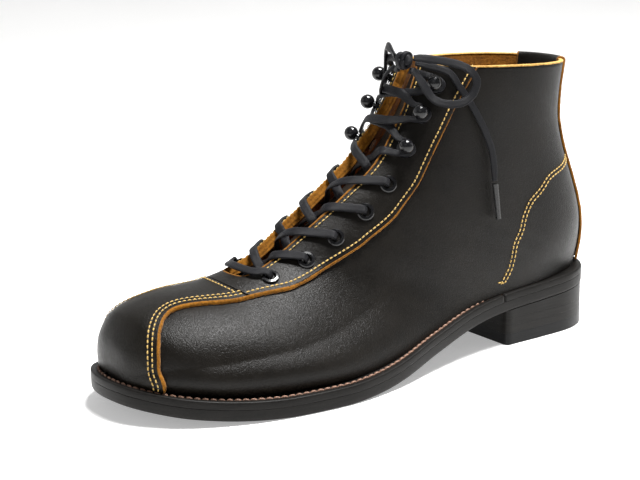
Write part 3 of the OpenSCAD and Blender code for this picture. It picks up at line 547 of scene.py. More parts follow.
def plain_stuff(name, dark, light, scale, rough, high=0.0002, metal=0.0, squeeze=None):
    """Hidden pieces: cork, canvas, insole leather, steel."""
    mat, nt, bsdf = new_material(name, rough)
    a = noise(nt, scale, 4, 0.65, squeeze=squeeze)
    nt.links.new(ramp(nt, a, [(0.35, dark), (0.65, light)]), bsdf.inputs["Base Color"])
    bump(nt, bsdf, [(a, 0.6, high)])
    bsdf.inputs["Metallic"].default_value = metal
    return mat


EDGE_DARK, EDGE_LIGHT = (0.0045, 0.0041, 0.0037), (0.0120, 0.0108, 0.0096)
M = {
    "cap": black_leather("cap_leather", (0.0032, 0.0026, 0.0018), (0.0075, 0.0060, 0.0040), (0.27, 0.36)),
    "quarter": black_leather("quarter_leather", (0.0034, 0.0028, 0.0021), (0.0075, 0.0060, 0.0044),
                             (0.28, 0.37)),
    "tongue": black_leather("tongue_leather", (0.0080, 0.0060, 0.0045), (0.019, 0.014, 0.010), (0.4, 0.6),
                            0.6, 0.5),
    "edge": suede("cut_edge", (0.070, 0.024, 0.002), (0.30, 0.120, 0.010), 900, 0.85),
    "rim": suede("collar_cut_edge", (0.24, 0.115, 0.020), (0.66, 0.40, 0.12), 800, 0.85),
    "flesh": suede("flesh_side", (0.085, 0.028, 0.003), (0.33, 0.125, 0.012), 620, 0.92, 0.0006),
    "gold": thread("gold_thread", (0.30, 0.17, 0.030), (0.76, 0.52, 0.16)),
    # painted shade: near-black material for the discs over the stitch needle holes
    "hole": thread("needle_hole", (0.002, 0.0018, 0.0015), (0.006, 0.005, 0.004)),
    "brown": thread("welt_thread", (0.07, 0.03, 0.018), (0.36, 0.20, 0.13)),
    "dark": thread("dark_thread", (0.012, 0.010, 0.009), (0.04, 0.033, 0.028)),
    "sole": sole_edge("sole_edge", EDGE_DARK, EDGE_LIGHT, (0.38, 0.52)),
    "welt": sole_edge("welt_top", EDGE_DARK, EDGE_LIGHT, (0.38, 0.52)),
    "stack": sole_edge("heel_leather", EDGE_DARK, (0.0125, 0.0113, 0.0100), (0.34, 0.48), 0.2),
    "rubber": sole_edge("heel_rubber", (0.0040, 0.0040, 0.0042), (0.0090, 0.0090, 0.0092), (0.32, 0.44), 0.12),
    "lace": lace_fabric("waxed_lace", (0.0024, 0.0024, 0.0031), (0.0120, 0.0120, 0.0142)),
    "aglet": enamel("aglet", (0.012, 0.012, 0.012), 0.25),
    "enamel": enamel("black_enamel"),
    "insole": plain_stuff("insole_leather", (0.34, 0.22, 0.12), (0.58, 0.42, 0.27), 320, 0.7),
    "cork": plain_stuff("cork", (0.22, 0.12, 0.06), (0.56, 0.38, 0.22), 420, 0.95, 0.0006),
    "canvas": plain_stuff("canvas_rib", (0.42, 0.36, 0.26), (0.72, 0.66, 0.54), 1300, 0.9, 0.0002),
    "fibre": plain_stuff("stiffener", (0.42, 0.34, 0.23), (0.66, 0.57, 0.42), 600, 0.9, 0.0002),
    "steel": plain_stuff("spring_steel", (0.36, 0.36, 0.38), (0.62, 0.62, 0.64), 300, 0.35, 0.00005, 1.0,
                         (1, 12, 1)),
    "brass": plain_stuff("brass_nail", (0.50, 0.34, 0.13), (0.80, 0.60, 0.28), 500, 0.35, 0.00005, 1.0),
}


# ---------------------------------------------------------------- the lace's path
def stop(u, v, d, f):
    """One stop of the lace: its place, the way its broad side faces, its width and its thickness."""
    return [at(u, v, d), f * skin_normal(u, v), LACE_W, LACE_T]


def opening(e, s, d=0.0):
    """Centre of a hole, its outward direction, and the way from it towards the throat."""
    p, n = at(e[0], s * e[1], d), skin_normal(e[0], s * e[1])
    return p, n, unit(at(e[0], s * (e[1] - 0.04), d) - p)


def through(s, k, f):
    """Down through eyelet k on side s and back under the facing."""
    p, n, g = opening(EYES[k], s)
    return [[p + n * (TOP + 2.7) + g * 3.6, f * unit(n - g * 0.2), mix(NARROW, LACE_W, 0.7), LACE_T],
            [p + n * (TOP + 1.7) + g * 0.4, f * unit(n - g), NARROW, THICK],
            [p - n * 1.2, -f * g, NARROW, THICK],
            [p - n * (LEATHER + 3.1) + g * 0.5, -f * unit(n + g), NARROW, THICK],
            [p + n * (UNDER - 1.2) + g * 3.6, -f * unit(n + g * 0.1), mix(NARROW, LACE_W, 0.4), LACE_T]]


def cross_pass(s, k, f):
    """From under the facing on side s, over the tongue, onto the other facing."""
    a, b = HOLES[k][0], HOLES[k + 1][0]
    first = s * (1 if k % 2 == 0 else -1) > 0
    t0, t1 = THROAT(mix(a, b, 0.25)), THROAT(mix(a, b, 0.75))
    return [stop(mix(a, b, 0.25), s * t0 * 0.86, UNDER - 0.1, f),
            stop(mix(a, b, 0.38), s * 0.042, -1.2 if first else UNDER + 0.5, f),
            stop(mix(a, b, 0.5), 0, 1 if first else -3.3, f),
            stop(mix(a, b, 0.62), -s * 0.042, 2.8 if first else -2.2, f),
            stop(mix(a, b, 0.75), -s * t1 * 0.95, OVER + (0.3 if first else 0), f)]


def round_hook(s, k, f):
    """Round the neck of hook k on side s."""
    p, n, g = opening(HOOKS[k], s, HELD)
    c = unit(np.cross(n, g) * s * -1)
    w, m = LACE_W * 0.72, NARROW * 0.9
    return [[p + g * 6 - c * 4.4, f * n, w, LACE_T], [p + g * 1.4 - c * 3.6, f * n, m, THICK],
            [p - g * 3.4 - c * 1.6, f * n, m, THICK], [p - g * 3.4 + c * 1.6, f * n, m, THICK],
            [p + g * 1.4 + c * 3.6, f * n, m, THICK], [p + g * 6 + c * 4.0, f * n, w, LACE_T]]


def cross_over(s, k, f):
    """From hook k on side s across the throat to the next hook."""
    a, b = HOOKS[k][0], HOOKS[k + 1][0]
    first = s * (-1 if k % 2 == 0 else 1) > 0
    lo, mid = (HELD + 1.9, HELD + 2) if first else (HELD - 0.9, HELD - 1)
    return [stop(mix(a, b, 0.44), s * 0.06, lo, f), stop(mix(a, b, 0.5), 0, mid, f),
            stop(mix(a, b, 0.56), -s * 0.06, lo, f)]


KNOT = np.array([12.0, 22.0, COLLAR_H + 8])
NEAR_LOOP = [(5.6, 2.2, 1.6), (10, 6, 1.4), (18, 15, -0.5), (23, 21.5, -3), (26, 25.5, -7),
             (27.2, 26.5, -12), (26.4, 23.5, -18), (24, 18, -21.5), (20, 11.5, -21.5),
             (15.5, 6.5, -18.5), (11, 3.6, -11), (5.8, 1.4, -4)]
FAR_LOOP = [(-5.4, -1.6, 2), (-10, -1.2, 5.4), (-17, 2, 6), (-24, 6.5, 1.6), (-28.5, 9.5, -6),
            (-29, 8.5, -14), (-25, 4, -18.5), (-18.5, -1, -15.5), (-11.5, -3.6, -8.5), (-5.6, -2.2, -3.2)]
END_LEFT = [(3.6, 4.8, -1.5), (7, 12, -3.6), (11.6, 20.8, -7), (15.7, 24.6, -14.5), (18.5, 28.8, -22),
            (20.6, 34.2, -32), (21.5, 38, -40), (22.1, 41.5, -49), (22.3, 43, -58), (22.4, 43.6, -66)]
END_RIGHT = [(-3.6, 4.2, -1.6), (-12, 4.5, -0.6), (-21.5, 7.5, -0.6), (-30.5, 12, -2.6), (-36, 19, -7),
             (-39.8, 24.4, -14.7), (-42.8, 28.8, -22), (-44.9, 34.2, -32), (-45.9, 37.8, -40),
             (-46.5, 41, -49), (-46.8, 42.4, -58)]
WEAVE = 1.15  # braid repeats a millimetre
KNOT_AXIS = np.array([0.9, 0.35, 0.2])


def tape(pts, out, w):
    """Stops of a flat braid from the knot, a little narrower at both ends."""
    last = len(pts) - 1
    return [[KNOT + np.array(p), unit(out), w * (0.7 if i in (0, last) else 1), LACE_T]
            for i, p in enumerate(pts)]


def ribbon(name, stops, fine=8, replace=()):
    """Flat braid swept along its stops: rounded edges, a faint rib in the middle, and UVs in weave steps."""
    n = len(stops)
    keys = range(n)
    pk = Curve(list(zip(keys, [s[0] for s in stops])))
    nk = Curve(list(zip(keys, [s[1] for s in stops])))
    wk = Curve(list(zip(keys, [(s[2], s[3]) for s in stops])))
    t = np.linspace(0, n - 1, (n - 1) * fine + 1)
    p, wt = pk(t), wk(t)
    tan = unit(pk(np.minimum(t + 0.1, n - 1)) - pk(np.maximum(t - 0.1, 0)))
    raw = nk(t)
    up = unit(raw - tan * np.sum(raw * tan, -1, keepdims=True))
    side = np.cross(tan, up)
    run = np.concatenate([[0], np.cumsum(np.linalg.norm(np.diff(p, axis=0), axis=1))])
    upper = [(-1, 0), (-0.93, 0.62), (-0.72, 0.95), (-0.3, 1), (0, 0.93), (0.3, 1), (0.72, 0.95),
             (0.93, 0.62)]
    shape = upper + [(-c, -d) for c, d in upper]
    a, b = wt[:, :1] / 2, wt[:, 1:] / 2
    wob = 1 + 0.03 * np.sin(run * 0.9)[:, None] + 0.02 * np.sin(run * 2.3 + 1)[:, None]
    rings = np.stack([p + side * (c * a * wob) + up * (d * b) for c, d in shape], 1)
    m = len(shape)
    faces = [[i * m + j, i * m + (j + 1) % m, (i + 1) * m + (j + 1) % m, (i + 1) * m + j]
             for i in range(len(t) - 1) for j in range(m)]
    faces += [list(range(m))[::-1], [(len(t) - 1) * m + j for j in range(m)]]
    ob = new_mesh(name, rings.reshape(-1, 3), faces, [M["lace"]], replace=replace, slot="waxed_lace")
    uv = ob.data.uv_layers.new(name="UVMap")
    girth = np.array([c for c, _ in shape]) * 2.0
    for poly in ob.data.polygons:
        for li, vi in zip(poly.loop_indices, poly.vertices):
            i, j = divmod(vi, m)
            uv.data[li].uv = (girth[j] * WEAVE, run[i] * WEAVE * 0.55)
    return ob, world(p)


def lace_half(side):
    """Half of the lace, from the bottom eyelet on a side, back and forth up to the last hook."""
    stops = []
    for k in range(len(EYES)):
        f = 1 if k % 2 == 0 else -1
        stops += through(side * f, k, f) + cross_pass(side * f, k, -f)
    for k in range(len(HOOKS)):
        s = -side if k % 2 == 0 else side
        stops += round_hook(s, k, -1)
        if k < len(HOOKS) - 1:
            stops += cross_over(s, k, -1)
    return stops


def make_lace():
    """The lace through the eyelets and round the hooks, up to the knot."""
    width = LACE_W * 0.7
    right = lace_half(1) + [[KNOT + (-4.4, 0.2, -4.6), np.array([-0.3, -0.9, 0.2]), width, LACE_T]]
    left = lace_half(-1) + [[KNOT + (3, 1.6, -5), np.array([0.3, -0.9, 0.2]), width, LACE_T]]
    low = OVER + 0.9
    bar = [stop(0.415, -0.1, low, 1), stop(0.41, 0, OVER + 1.2, 1), stop(0.415, 0.1, low, 1)]
    ribbon("lace_visual", left[::-1] + bar + right, 7, replace=["lace"])


def make_knot():
    """The knot's core and the two wraps round it."""
    sizes = ((-4.9, 3.0, 2.0), (-3.6, 5.6, 3.6), (-1.5, 6.7, 4.4), (1.5, 6.7, 4.4), (3.6, 5.6, 3.6),
             (4.9, 3.0, 2.0))
    knot = [[KNOT + KNOT_AXIS * a, np.array([0.35, -0.9, 0.2]), w, t] for a, w, t in sizes]
    ribbon("bow_knot", knot, 6, replace=["lace_bow"])
    for k, (off, tilt) in enumerate(((-1.2, 0.25), (1.3, -0.2))):
        c = KNOT + KNOT_AXIS * off
        ring = []
        for q in np.linspace(-0.2, 2 * math.pi + 0.2, 13):
            o = np.array([-0.1 * math.cos(q), -math.cos(q) * 0.98, tilt * math.cos(q)]) * 2.9
            o = o + np.array([0.1, 0.05, 1.0]) * math.sin(q) * 3.9
            ring.append([c + o + np.array([0.5, 0, 0]) * (q - 3) * 0.25, unit(o), 3.6, 1.4])
        ribbon(f"bow_wrap_{k + 1}", ring, 5)


def make_bow():
    """The bow's two loops and the two hanging ends, each a ribbon of its own."""
    near, near_path = ribbon("bow_loop_near", tape(NEAR_LOOP, (0.92, -0.4, 0.25), LOOP_W), 8)
    far, far_path = ribbon("bow_loop_far", tape(FAR_LOOP, (-0.75, -0.65, 0.25), LOOP_W), 8)
    left, left_path = ribbon("lace_tail_left", tape(END_LEFT, (0.96, -0.28, 0.1), TAIL_W), 8,
                             replace=["lace_end_left"])
    right, right_path = ribbon("lace_tail_right", tape(END_RIGHT, (-0.96, -0.28, 0.1), TAIL_W), 8,
                               replace=["lace_end_right"])


# ---------------------------------------------------------------- leather panels
def border(g):
    """Points round the edge of a grid of points."""
    return np.concatenate([g[0, :], g[1:, -1], g[-1, -2::-1], g[-2:0:-1, 0]])


def shell(name, uu, vv, high, low, mats, replace, relief, bulge=0.25):
    """A sheet of leather between two heights over the boot's surface; its cut edges bulge a little."""
    top = at(uu, vv, high + relief)
    bot = at(uu, vv, low)
    b = Build()
    b.grid(top, 0)
    b.grid(bot, 1)
    t, o = border(top), border(bot)
    nrm = unit(t - o)
    side = unit(np.cross(unit(np.roll(t, -1, 0) - np.roll(t, 1, 0)), nrm))
    c = top.mean((0, 1))
    if np.mean(np.sum(side * (t - c), -1)) < 0:
        side = -side
    rows = [t, mix(t, o, 0.12) + side * bulge * 0.7, mix(t, o, 0.5) + side * bulge,
            mix(t, o, 0.88) + side * bulge * 0.7, o]
    b.grid(np.array(rows), 2, wrap=True)
    return b.make(name, mats, slot="black_leather", replace=replace)


def spaced(*parts):
    """Joins evenly spaced runs (start, end, count) into one rising list."""
    out = []
    for a, z, n in parts:
        out += list(np.linspace(a, z, n, endpoint=False))
    return np.array(out + [parts[-1][1]])


def between(rows, cols):
    """Grids of u and v from rows of (u at the first side, v, v at the second side, u there)."""
    k = np.linspace(0, 1, cols)[None, :]
    return mix(rows[:, :1], rows[:, 3:4], k), mix(rows[:, 1:2], rows[:, 2:3], k)


def tuck(u):
    return np.where(u < 0.392, TUCK(u), THROAT(u))


def wrinkles(u, v, p):
    """Gentle unevenness of worked leather: soft dents everywhere and slight bends at the ankle."""
    ankle = np.exp(-((u - 0.7) / 0.1) ** 2) * smooth(0.25, 0.6, np.abs(v))
    bends = np.sin(u * 90 + soft_noise(p, 60, 5) * 2.0)
    return 0.05 * soft_noise(p, 42, 1) + 0.01 * soft_noise(p, 13, 2) + 0.08 * ankle * bends


def make_quarters():
    us = spaced((0.0605, 0.1, 30), (0.1, 0.4, 70), (0.4, 0.43, 12), (0.43, 1, 120))
    for s, side in ((1, "left"), (-1, "right")):
        e = np.where(us > UH, 0.997, RIM)
        rows = np.stack([us, s * np.minimum(tuck(us), e - 0.012), s * e, us], 1)
        uu, vv = between(rows, 80)
        shell(f"quarter_{side}_visual", uu, vv, 0.0, -LEATHER, [M["quarter"], M["flesh"], M["edge"]],
              [f"quarter_{side}"], wrinkles(uu, vv, skin(uu, vv)))


def make_toe_cap():
    us = spaced((0.006, 0.0825, 40), (0.0825, 0.1, 46), (0.1, 0.2, 44), (0.2, CAP_END, 50))
    e = RIM * np.where(us < 0.083, 1, EDGE(us))
    rows = np.stack([us, -e, e, us], 1)
    uu, vv = between(rows, 120)
    p = skin(uu, vv)
    shell("toe_cap_visual", uu, vv, TOP, GAP, [M["cap"], M["flesh"], M["cap"]], ["toe_cap"],
          0.12 * soft_noise(p, 38, 8) + 0.04 * soft_noise(p, 11, 9), bulge=0.15)


def make_eyestay():
    """U-shaped panel: two arms beside the throat and the bridge in front of it."""
    def arm(s, u):
        return (u, s * THROAT(u), s * EDGE(u), u)

    bridge = [(0.412, 0.093, 0.24, 0.408), (0.403, 0.087, 0.222, 0.39), (0.397, 0.072, 0.208, 0.374),
              (0.3935, 0.048, 0.198, 0.36), (0.392, 0.024, 0.12, CAP_END + 0.003)]
    flip = lambda r: (r[0], -r[1], -r[2], r[3])
    arm_u = [1, 0.975, 0.95, 0.925, 0.9, 0.87, 0.84, 0.81, 0.78, 0.74, 0.7, 0.66, 0.62, 0.58, 0.54, 0.5,
             0.46, 0.43]
    rows = [arm(-1, u) for u in arm_u] + [flip(r) for r in bridge] + [(0.3915, 0, 0, CAP_END + 0.003)]
    rows += bridge[::-1] + [arm(1, u) for u in arm_u[::-1]]
    c = Curve(list(enumerate(rows)))
    dense = c(np.linspace(0, len(rows) - 1, (len(rows) - 1) * 7 + 1))
    uu, vv = between(dense, 26)
    p = skin(uu, vv)
    shell("eyestay_visual", uu, vv, TOP, GAP, [M["quarter"], M["flesh"], M["cap"]], ["eyestay"],
          0.1 * soft_noise(p, 30, 12), bulge=0.15)


def edge_uv(u0=0.0832, u1=1.0):
    """Places along the outer cut edge of the cap and the eyestay between two stations."""
    u = spaced((0.0832, 0.1, 120), (0.1, 0.25, 100), (0.25, 1, 260))
    u = u[(u >= u0) & (u <= u1)]
    return u, EDGE(u)


def along(u, v, d, push=(0.004, 0.02)):
    """Path over the surface with its normals and the direction away from the middle of the boot."""
    p, n = at(u, v, d), skin_normal(u, v)
    ask = at(np.minimum(u + push[0], 1), v + np.sign(v + 1e-9) * push[1], d) - p
    p, (n, ask) = resample(p, [n, ask], 0.7)
    n = unit(n)
    side = unit(np.cross(frames(p), n))
    side *= np.sign(np.sum(side * ask, -1, keepdims=True))
    return p, n, side


def bead(name, runs, profile, mat, fuzz=0.12, taper=False):
    """A raw edge: a closed profile swept along paths, uneven as cut fibres are."""
    b = Build()
    for k, (p, n, side) in enumerate(runs):
        f1 = soft_noise(p, 1.9, 20 + k)[:, None] * fuzz + soft_noise(p, 7, 30 + k)[:, None] * fuzz
        rows = []
        thin = mix(1.0, 0.72, smooth(60, 110, p[:, 2:3])) if taper else 1.0
        for i, (a, h) in enumerate(profile):
            f2 = soft_noise(p, 1.3, 40 + i)[:, None] * fuzz * 0.7
            rows.append(p + side * (a * thin + (f1 if a > 0 else 0)) + n * (h + f2))
        grid = np.stack(rows, 1)
        b.grid(grid, 0, wrap=True)
        for end in (grid[:1], grid[-1:]):
            mid = np.repeat(end.mean(1, keepdims=True), grid.shape[1], 1)
            b.grid(np.concatenate([end, mid * 0.999 + end * 0.001]), 0, wrap=True)
    return b.make(name, [mat], slot="tan_suede", weld=1e-8)


def make_edges():
    """Tan cut edges of the cap and the eyestay, and of the throat."""
    t = LEATHER - 0.2
    raw = [(-0.5, t - 0.25), (-0.42, t + 0.05), (-0.1, t + 0.13), (0.25, t - 0.02), (0.6, t - 0.4),
           (0.8, t - 0.95), (0.85, 0.3), (0.65, -0.15), (-0.3, -0.1)]
    u, v = edge_uv()
    runs = [along(u, s * v, GAP) for s in (1, -1)]
    bead("cut_edge", runs, raw, M["edge"], taper=True)
    u = np.linspace(0.43, 1, 200)
    arc = [(0.43, 0.0975), (0.412, 0.093), (0.403, 0.087), (0.397, 0.072), (0.3935, 0.048), (0.392, 0.024),
           (0.3915, 0.0)]
    c = keyed(arc)(np.linspace(0, 1, 60))
    uu = np.concatenate([u[::-1], c[1:, 0], c[-2::-1, 0], u[1:]])
    vv = np.concatenate([THROAT(u[::-1]), c[1:, 1], -c[-2::-1, 1], -THROAT(u[1:])])
    p, n = at(uu, vv, 0), skin_normal(uu, vv)
    p, (n,) = resample(p, [n], 0.8)
    n = unit(n)
    side = unit(np.cross(frames(p), n))
    mid = at(np.linspace(0.45, 1, 30), np.zeros(30), 0)
    near = mid[np.argmin(np.linalg.norm(p[:, None] - mid[None], axis=-1), 1)]
    side *= np.sign(np.sum(side * (near - p), -1, keepdims=True))
    band = [(-0.6, TOP - 0.2), (-0.5, TOP + 0.1), (0.0, TOP + 0.16), (0.45, TOP - 0.1), (0.6, TOP - 0.8),
            (0.35, 0.25), (0.35, -0.1), (0.6, -0.9), (0.55, -1.7), (0.3, -2.1), (0.3, -2.4), (0.5, -3.0),
            (0.2, -3.5), (-0.6, -3.4)]
    bead("throat_edge", [(p, n, side)], band, M["edge"], 0.1)


def collar_path(s, v1):
    """Path along the collar on one side up to v1, with the ways up and outwards."""
    v = s * np.linspace(0.056, v1, 200)
    p = at(1, v, 0)
    up = unit(p - at(0.985, v, 0))
    q, (up, n) = resample(p, [up, skin_normal(1, v)], 0.8)
    return q, unit(up), unit(n)


def make_collar():
    """Cut edge along the top of the quarters, wider where the eyestay adds its own layer."""
    prof = [(0.18, -0.35), (0.12, 0.3), (-0.4, 0.62), (-1.0, 0.7), (-1.6, 0.6), (-2.1, 0.25), (-2.2, -0.35)]
    bead("collar_edge", [collar_path(s, 0.999) for s in (1, -1)], prof, M["rim"], 0.1)
    prof = [(TOP + 0.1, -0.3), (TOP - 0.05, 0.35), (1.3, 0.6), (0.6, 0.5), (0.3, 0.0), (0.35, -0.4)]
    bead("eyestay_top_edge", [collar_path(s, EDGE(1.0) * 0.995) for s in (1, -1)], prof, M["rim"], 0.08)


# ---------------------------------------------------------------- heel pieces, tongue
def heel_at(h, a, reach, d):
    """Point round the back: h above the seat, a from -1 to 1 across a strip of that reach, d out."""
    h, a, reach = np.broadcast_arrays(np.asarray(h, float), np.asarray(a, float), np.asarray(reach, float))

    def flat(a):
        y0 = reach * (1 - np.cos(math.pi / 2 * np.abs(a)))
        f = (1 - (1 - np.clip(y0 / ROUND(h), 0, 1)) ** SQUARENESS) ** (1 / SQUARENESS)
        return np.stack([np.sign(a) * GIRTH(h) * mix(31.3 / 31.5, 1, smooth(0, 40, h)) * f,
                         BACK(np.maximum(h, 0)) - y0], -1)

    p, t = flat(a), unit(flat(a + 0.01) - flat(a - 0.01))
    x, y = p[..., 0] - t[..., 1] * d, p[..., 1] + t[..., 0] * d
    return np.stack([x, y, np.maximum(SEAT_Z + h, feather(y) + 0.4)], -1)


STAY_REACH = Curve([(0, 7.2), (20, 5.1), (40, 4.1), (65, 3.9), (118, 4.3)])


def make_backstay():
    """Strip over the back seam, folded over the collar and down inside, with tan cut edges along both sides.
    """
    hs = np.linspace(0.4, SHAFT_H, 90)
    a = np.linspace(1, -1, 39)
    reach = STAY_REACH(hs)
    out = heel_at(hs[:, None], a[None], reach[:, None], TOP - 0.1)
    top = out[-1]
    inward = unit(heel_at(SHAFT_H, a, reach[-1], -4) - heel_at(SHAFT_H, a, reach[-1], 0))
    fold = []
    for k in range(1, 9):
        q = math.pi * k / 8
        fold.append(top + inward * (2.35 * (1 - math.cos(q))) + (0, 0, math.sin(q) * 1.9))
    inner_h = np.linspace(SHAFT_H - 1, SHAFT_H - 26, 20)
    ins = heel_at(inner_h[:, None], a[None], reach[-1], -LEATHER - 0.6)
    grid = np.concatenate([out, np.array(fold)[:-1], ins])
    back = heel_at(hs[:, None], a[None], reach[:, None], GAP)
    b = Build()
    b.grid(grid, 0)
    b.grid(back, 1)
    b.make("backstay_visual", [M["quarter"], M["flesh"]], slot="black_leather", replace=["backstay"])
    runs = []
    for col, sgn in ((0, 1), (-1, -1)):
        q, _ = resample(grid[:, col], [], 0.8)
        tang = frames(q)
        want = np.repeat(np.array([[float(sgn), 0, 0]]), len(q), 0)
        side = unit(want - tang * np.sum(want * tang, -1, keepdims=True))
        nn = unit(np.cross(side, tang)) * sgn
        if nn[5, 1] < 0:
            nn = -nn
        runs.append((q, nn, side))
    prof = [(-0.55, 0.0), (-0.45, 0.14), (0.1, 0.16), (0.45, -0.1), (0.6, -0.7), (0.5, -1.5), (-0.2, -1.6)]
    bead("backstay_edge", runs, prof, M["edge"], 0.09)


def make_tongue():
    """Tongue with a soft swelling down the middle and its tan flesh side behind."""
    us, vs = np.linspace(0.375, TONGUE_END, 150), np.linspace(-0.17, 0.17, 61)
    uu, vv = np.meshgrid(us, vs, indexing="ij")
    p = skin(np.minimum(uu, 1), vv)
    wave = 0.35 * soft_noise(p, 40, 51) + 0.12 * soft_noise(p, 14, 52)
    edge = -0.8 * smooth(0.12, 0.17, np.abs(vv))
    roll = -0.3 * smooth(0.95, TONGUE_END, uu)
    high = TONGUE_TOP - 0.2 + wave * 0.4 + edge * 0.4 + roll
    top, bot = at(uu, vv, high), at(uu, vv, TONGUE_TOP - 1.8)
    b = Build()
    b.grid(top, 0)
    b.grid(bot, 1)
    b.grid(np.array([border(top), border(bot)]), 2, wrap=True)
    mats = [M["tongue"], M["flesh"], M["edge"]]
    bend(b.make("tongue_visual", mats, slot="tongue_leather", replace=["tongue"]))
    v = np.linspace(-0.15, 0.15, 20)
    row = (at(0.94, v, TONGUE_TOP), skin_normal(0.94, v))
    stitches("tongue_stitches", [row], 3.2, 2.5, 0.35, M["dark"], "tongue_leather", body="tongue")


def make_tongue_facing():
    """Thin tan lining behind the upper part of the tongue, ending level with it."""
    uu, vv = np.meshgrid(np.linspace(0.8, 0.984, 50), np.linspace(-0.14, 0.14, 41), indexing="ij")
    top = at(uu, vv, TONGUE_TOP - 2.05)
    bot = at(uu, vv, TONGUE_TOP - 3.05 + 0.2 * soft_noise(skin(uu, vv), 16, 53))
    b = Build()
    b.grid(top, 0)
    b.grid(bot, 0)
    b.grid(np.array([border(top), border(bot)]), 1, wrap=True)
    mats = [M["flesh"], M["edge"]]
    b.make("tongue_facing_visual", mats, slot="tan_suede", body="tongue", replace=["tongue_facing"])


def bend(ob):
    """Takes the piece off its rig body and bakes its placement into its mesh."""
    ob.parent = None
    if "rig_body" in ob:
        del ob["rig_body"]
    a, z = world(at(0.385, 0.0, TONGUE_TOP)), world(at(0.46, 0.0, TONGUE_TOP))
    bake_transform(ob)


# ---------------------------------------------------------------- stitch rows
def edge_row(s, inward, u0, u1):
    """Path a set distance inside the raw edge."""
    u, v = edge_uv(u0, u1)
    p, n, side = along(u, s * v, TOP + 0.05)
    return p - side * inward, n


def evened(path):
    """The path with each point moved to the middle of its neighbours."""
    k = np.ones(5) / 5
    pad = np.concatenate([np.repeat(path[:1], 2, 0), path, np.repeat(path[-1:], 2, 0)])
    return np.stack([np.convolve(pad[:, i], k, "valid") for i in range(3)], -1)


# stitch line of the heel counter, from the backstay down to the welt
COUNTER = [(19.5, 128.6, 100.3), (27.2, 122, 97.4), (32.1, 107.5, 93), (32.4, 99.2, 85), (32.3, 92.1, 78.9),
           (32.4, 87.1, 68.6), (32.4, 82.6, 58.6), (32.3, 80.1, 49), (32, 75.5, 39.9),
           (32, 73.6, 36.6), (32, 72.9, 35)]


def nearest_uv(points):
    """Places (u, v) on the outer side under points, found on a fine grid."""
    uu, vv = np.meshgrid(np.linspace(0.55, 1, 180), np.linspace(0.3, 1, 200), indexing="ij")
    q = skin(uu, vv)
    out = []
    for p in points:
        k = np.unravel_index(np.argmin(np.sum((q - p) ** 2, -1)), uu.shape)
        out.append((uu[k], vv[k]))
    return out


def make_edge_stitches():
    """Double row along the cap's edge, one along the eyestay's, and one across the back of the cap."""
    rows = []
    for s in (1, -1):
        rows += [edge_row(s, inward, 0.0862, CAP_END - 0.004) for inward in (2.7, 5.0)]
        rows.append(edge_row(s, 2.7, CAP_END - 0.003, 1.0))
    for v0 in (-0.145, 0.0):
        v = np.linspace(v0, v0 + 0.145, 60)
        u = np.full(60, CAP_END - 0.007)
        rows.append((at(u, v, TOP + 0.05), skin_normal(u, v)))
    stitches("edge_stitches", rows, PITCH, STITCH_L, STITCH_R, M["gold"], "tan_suede", hole=0.55)


def make_throat_stitches():
    rows = []
    u = np.linspace(0.425, 0.995, 300)
    for s in (1, -1):
        p, n, side = along(u, s * THROAT(u), TOP + 0.05)
        rows.append((p + side * 2.6, n))
    stitches("throat_stitches", rows, PITCH, STITCH_L, 0.34, M["gold"], "tan_suede", hole=0.5)


def make_counter_stitches():
    c = keyed(nearest_uv([np.array(p) for p in COUNTER]))(np.linspace(0, 1, 200))
    rows = []
    for s in (1, -1):
        p, n, side = along(c[:, 0], s * c[:, 1], 0.05, push=(-0.004, 0.02))
        p = evened(p)
        rows += [(p, n), (p + side * 2.4, n)]
    stitches("counter_stitches", rows, PITCH, STITCH_L, STITCH_R, M["gold"], "tan_suede", hole=0.55)


def make_backstay_stitches():
    rows = []
    hs = np.linspace(4, SHAFT_H - 4, 200)
    for s in (1, -1):
        pts, low, high = [heel_at(hs, s * 0.82, STAY_REACH(hs), TOP + d) for d in (-0.05, 0, 3)]
        rows.append((pts, unit(high - low)))
    stitches("backstay_stitches", rows, 2.5, 2.05, STITCH_R, M["gold"], "tan_suede")


# ---------------------------------------------------------------- sole
def closed_curve(points, n):
    """Dense closed Catmull-Rom outline, evenly resampled, starting at the tip of the toe."""
    p = np.array(points, float)
    out = []
    for k in range(len(p)):
        a, b, c, d = p[k - 1], p[k], p[(k + 1) % len(p)], p[(k + 2) % len(p)]
        t = np.linspace(0, 1, 24, endpoint=False)[:, None]
        out.append(0.5 * (2 * b + (c - a) * t + (2 * a - 5 * b + 4 * c - d) * t ** 2
                          + (3 * b - a - 3 * c + d) * t ** 3))
    q = np.concatenate(out)
    q = np.roll(q, -int(np.argmin(q[:, 1])), 0)
    loop = np.concatenate([q, q[:1]])
    d = np.concatenate([[0], np.cumsum(np.linalg.norm(np.diff(loop, axis=0), axis=1))])
    s = np.linspace(0, d[-1], n, endpoint=False)
    return np.stack([np.interp(s, d, loop[:, k]) for k in range(2)], -1)


OUTLINE = closed_curve(SOLE, 560)


def inset(ring, by):
    """Ring moved inwards by a distance."""
    t = unit(np.roll(ring, -1, 0) - np.roll(ring, 1, 0))
    n = np.stack([t[:, 1], -t[:, 0]], -1)
    c = ring.mean(0)
    if np.mean(np.sum(n * (ring - c), -1)) > 0:
        n = -n
    return ring + n * by


def lifted(xy, z):
    """Ring of points at height z over the underside of the sole."""
    return np.concatenate([xy, (np.maximum(LIFT(xy[:, 1]), 0) + z)[:, None]], 1)


def cap_grid(ring, z, cols=24):
    """Rows across the outline from one side to the other, from the toe to the heel."""
    m = len(ring)
    h = m // 2
    a, c = ring[:h + 1], np.concatenate([ring[:1], ring[::-1]])[:h + 1]
    k = np.linspace(0, 1, cols)[None, :, None]
    g = a[:, None] * (1 - k) + c[:, None] * k
    return np.concatenate([g, (np.maximum(LIFT(g[..., 1]), 0) + z)[..., None]], -1)


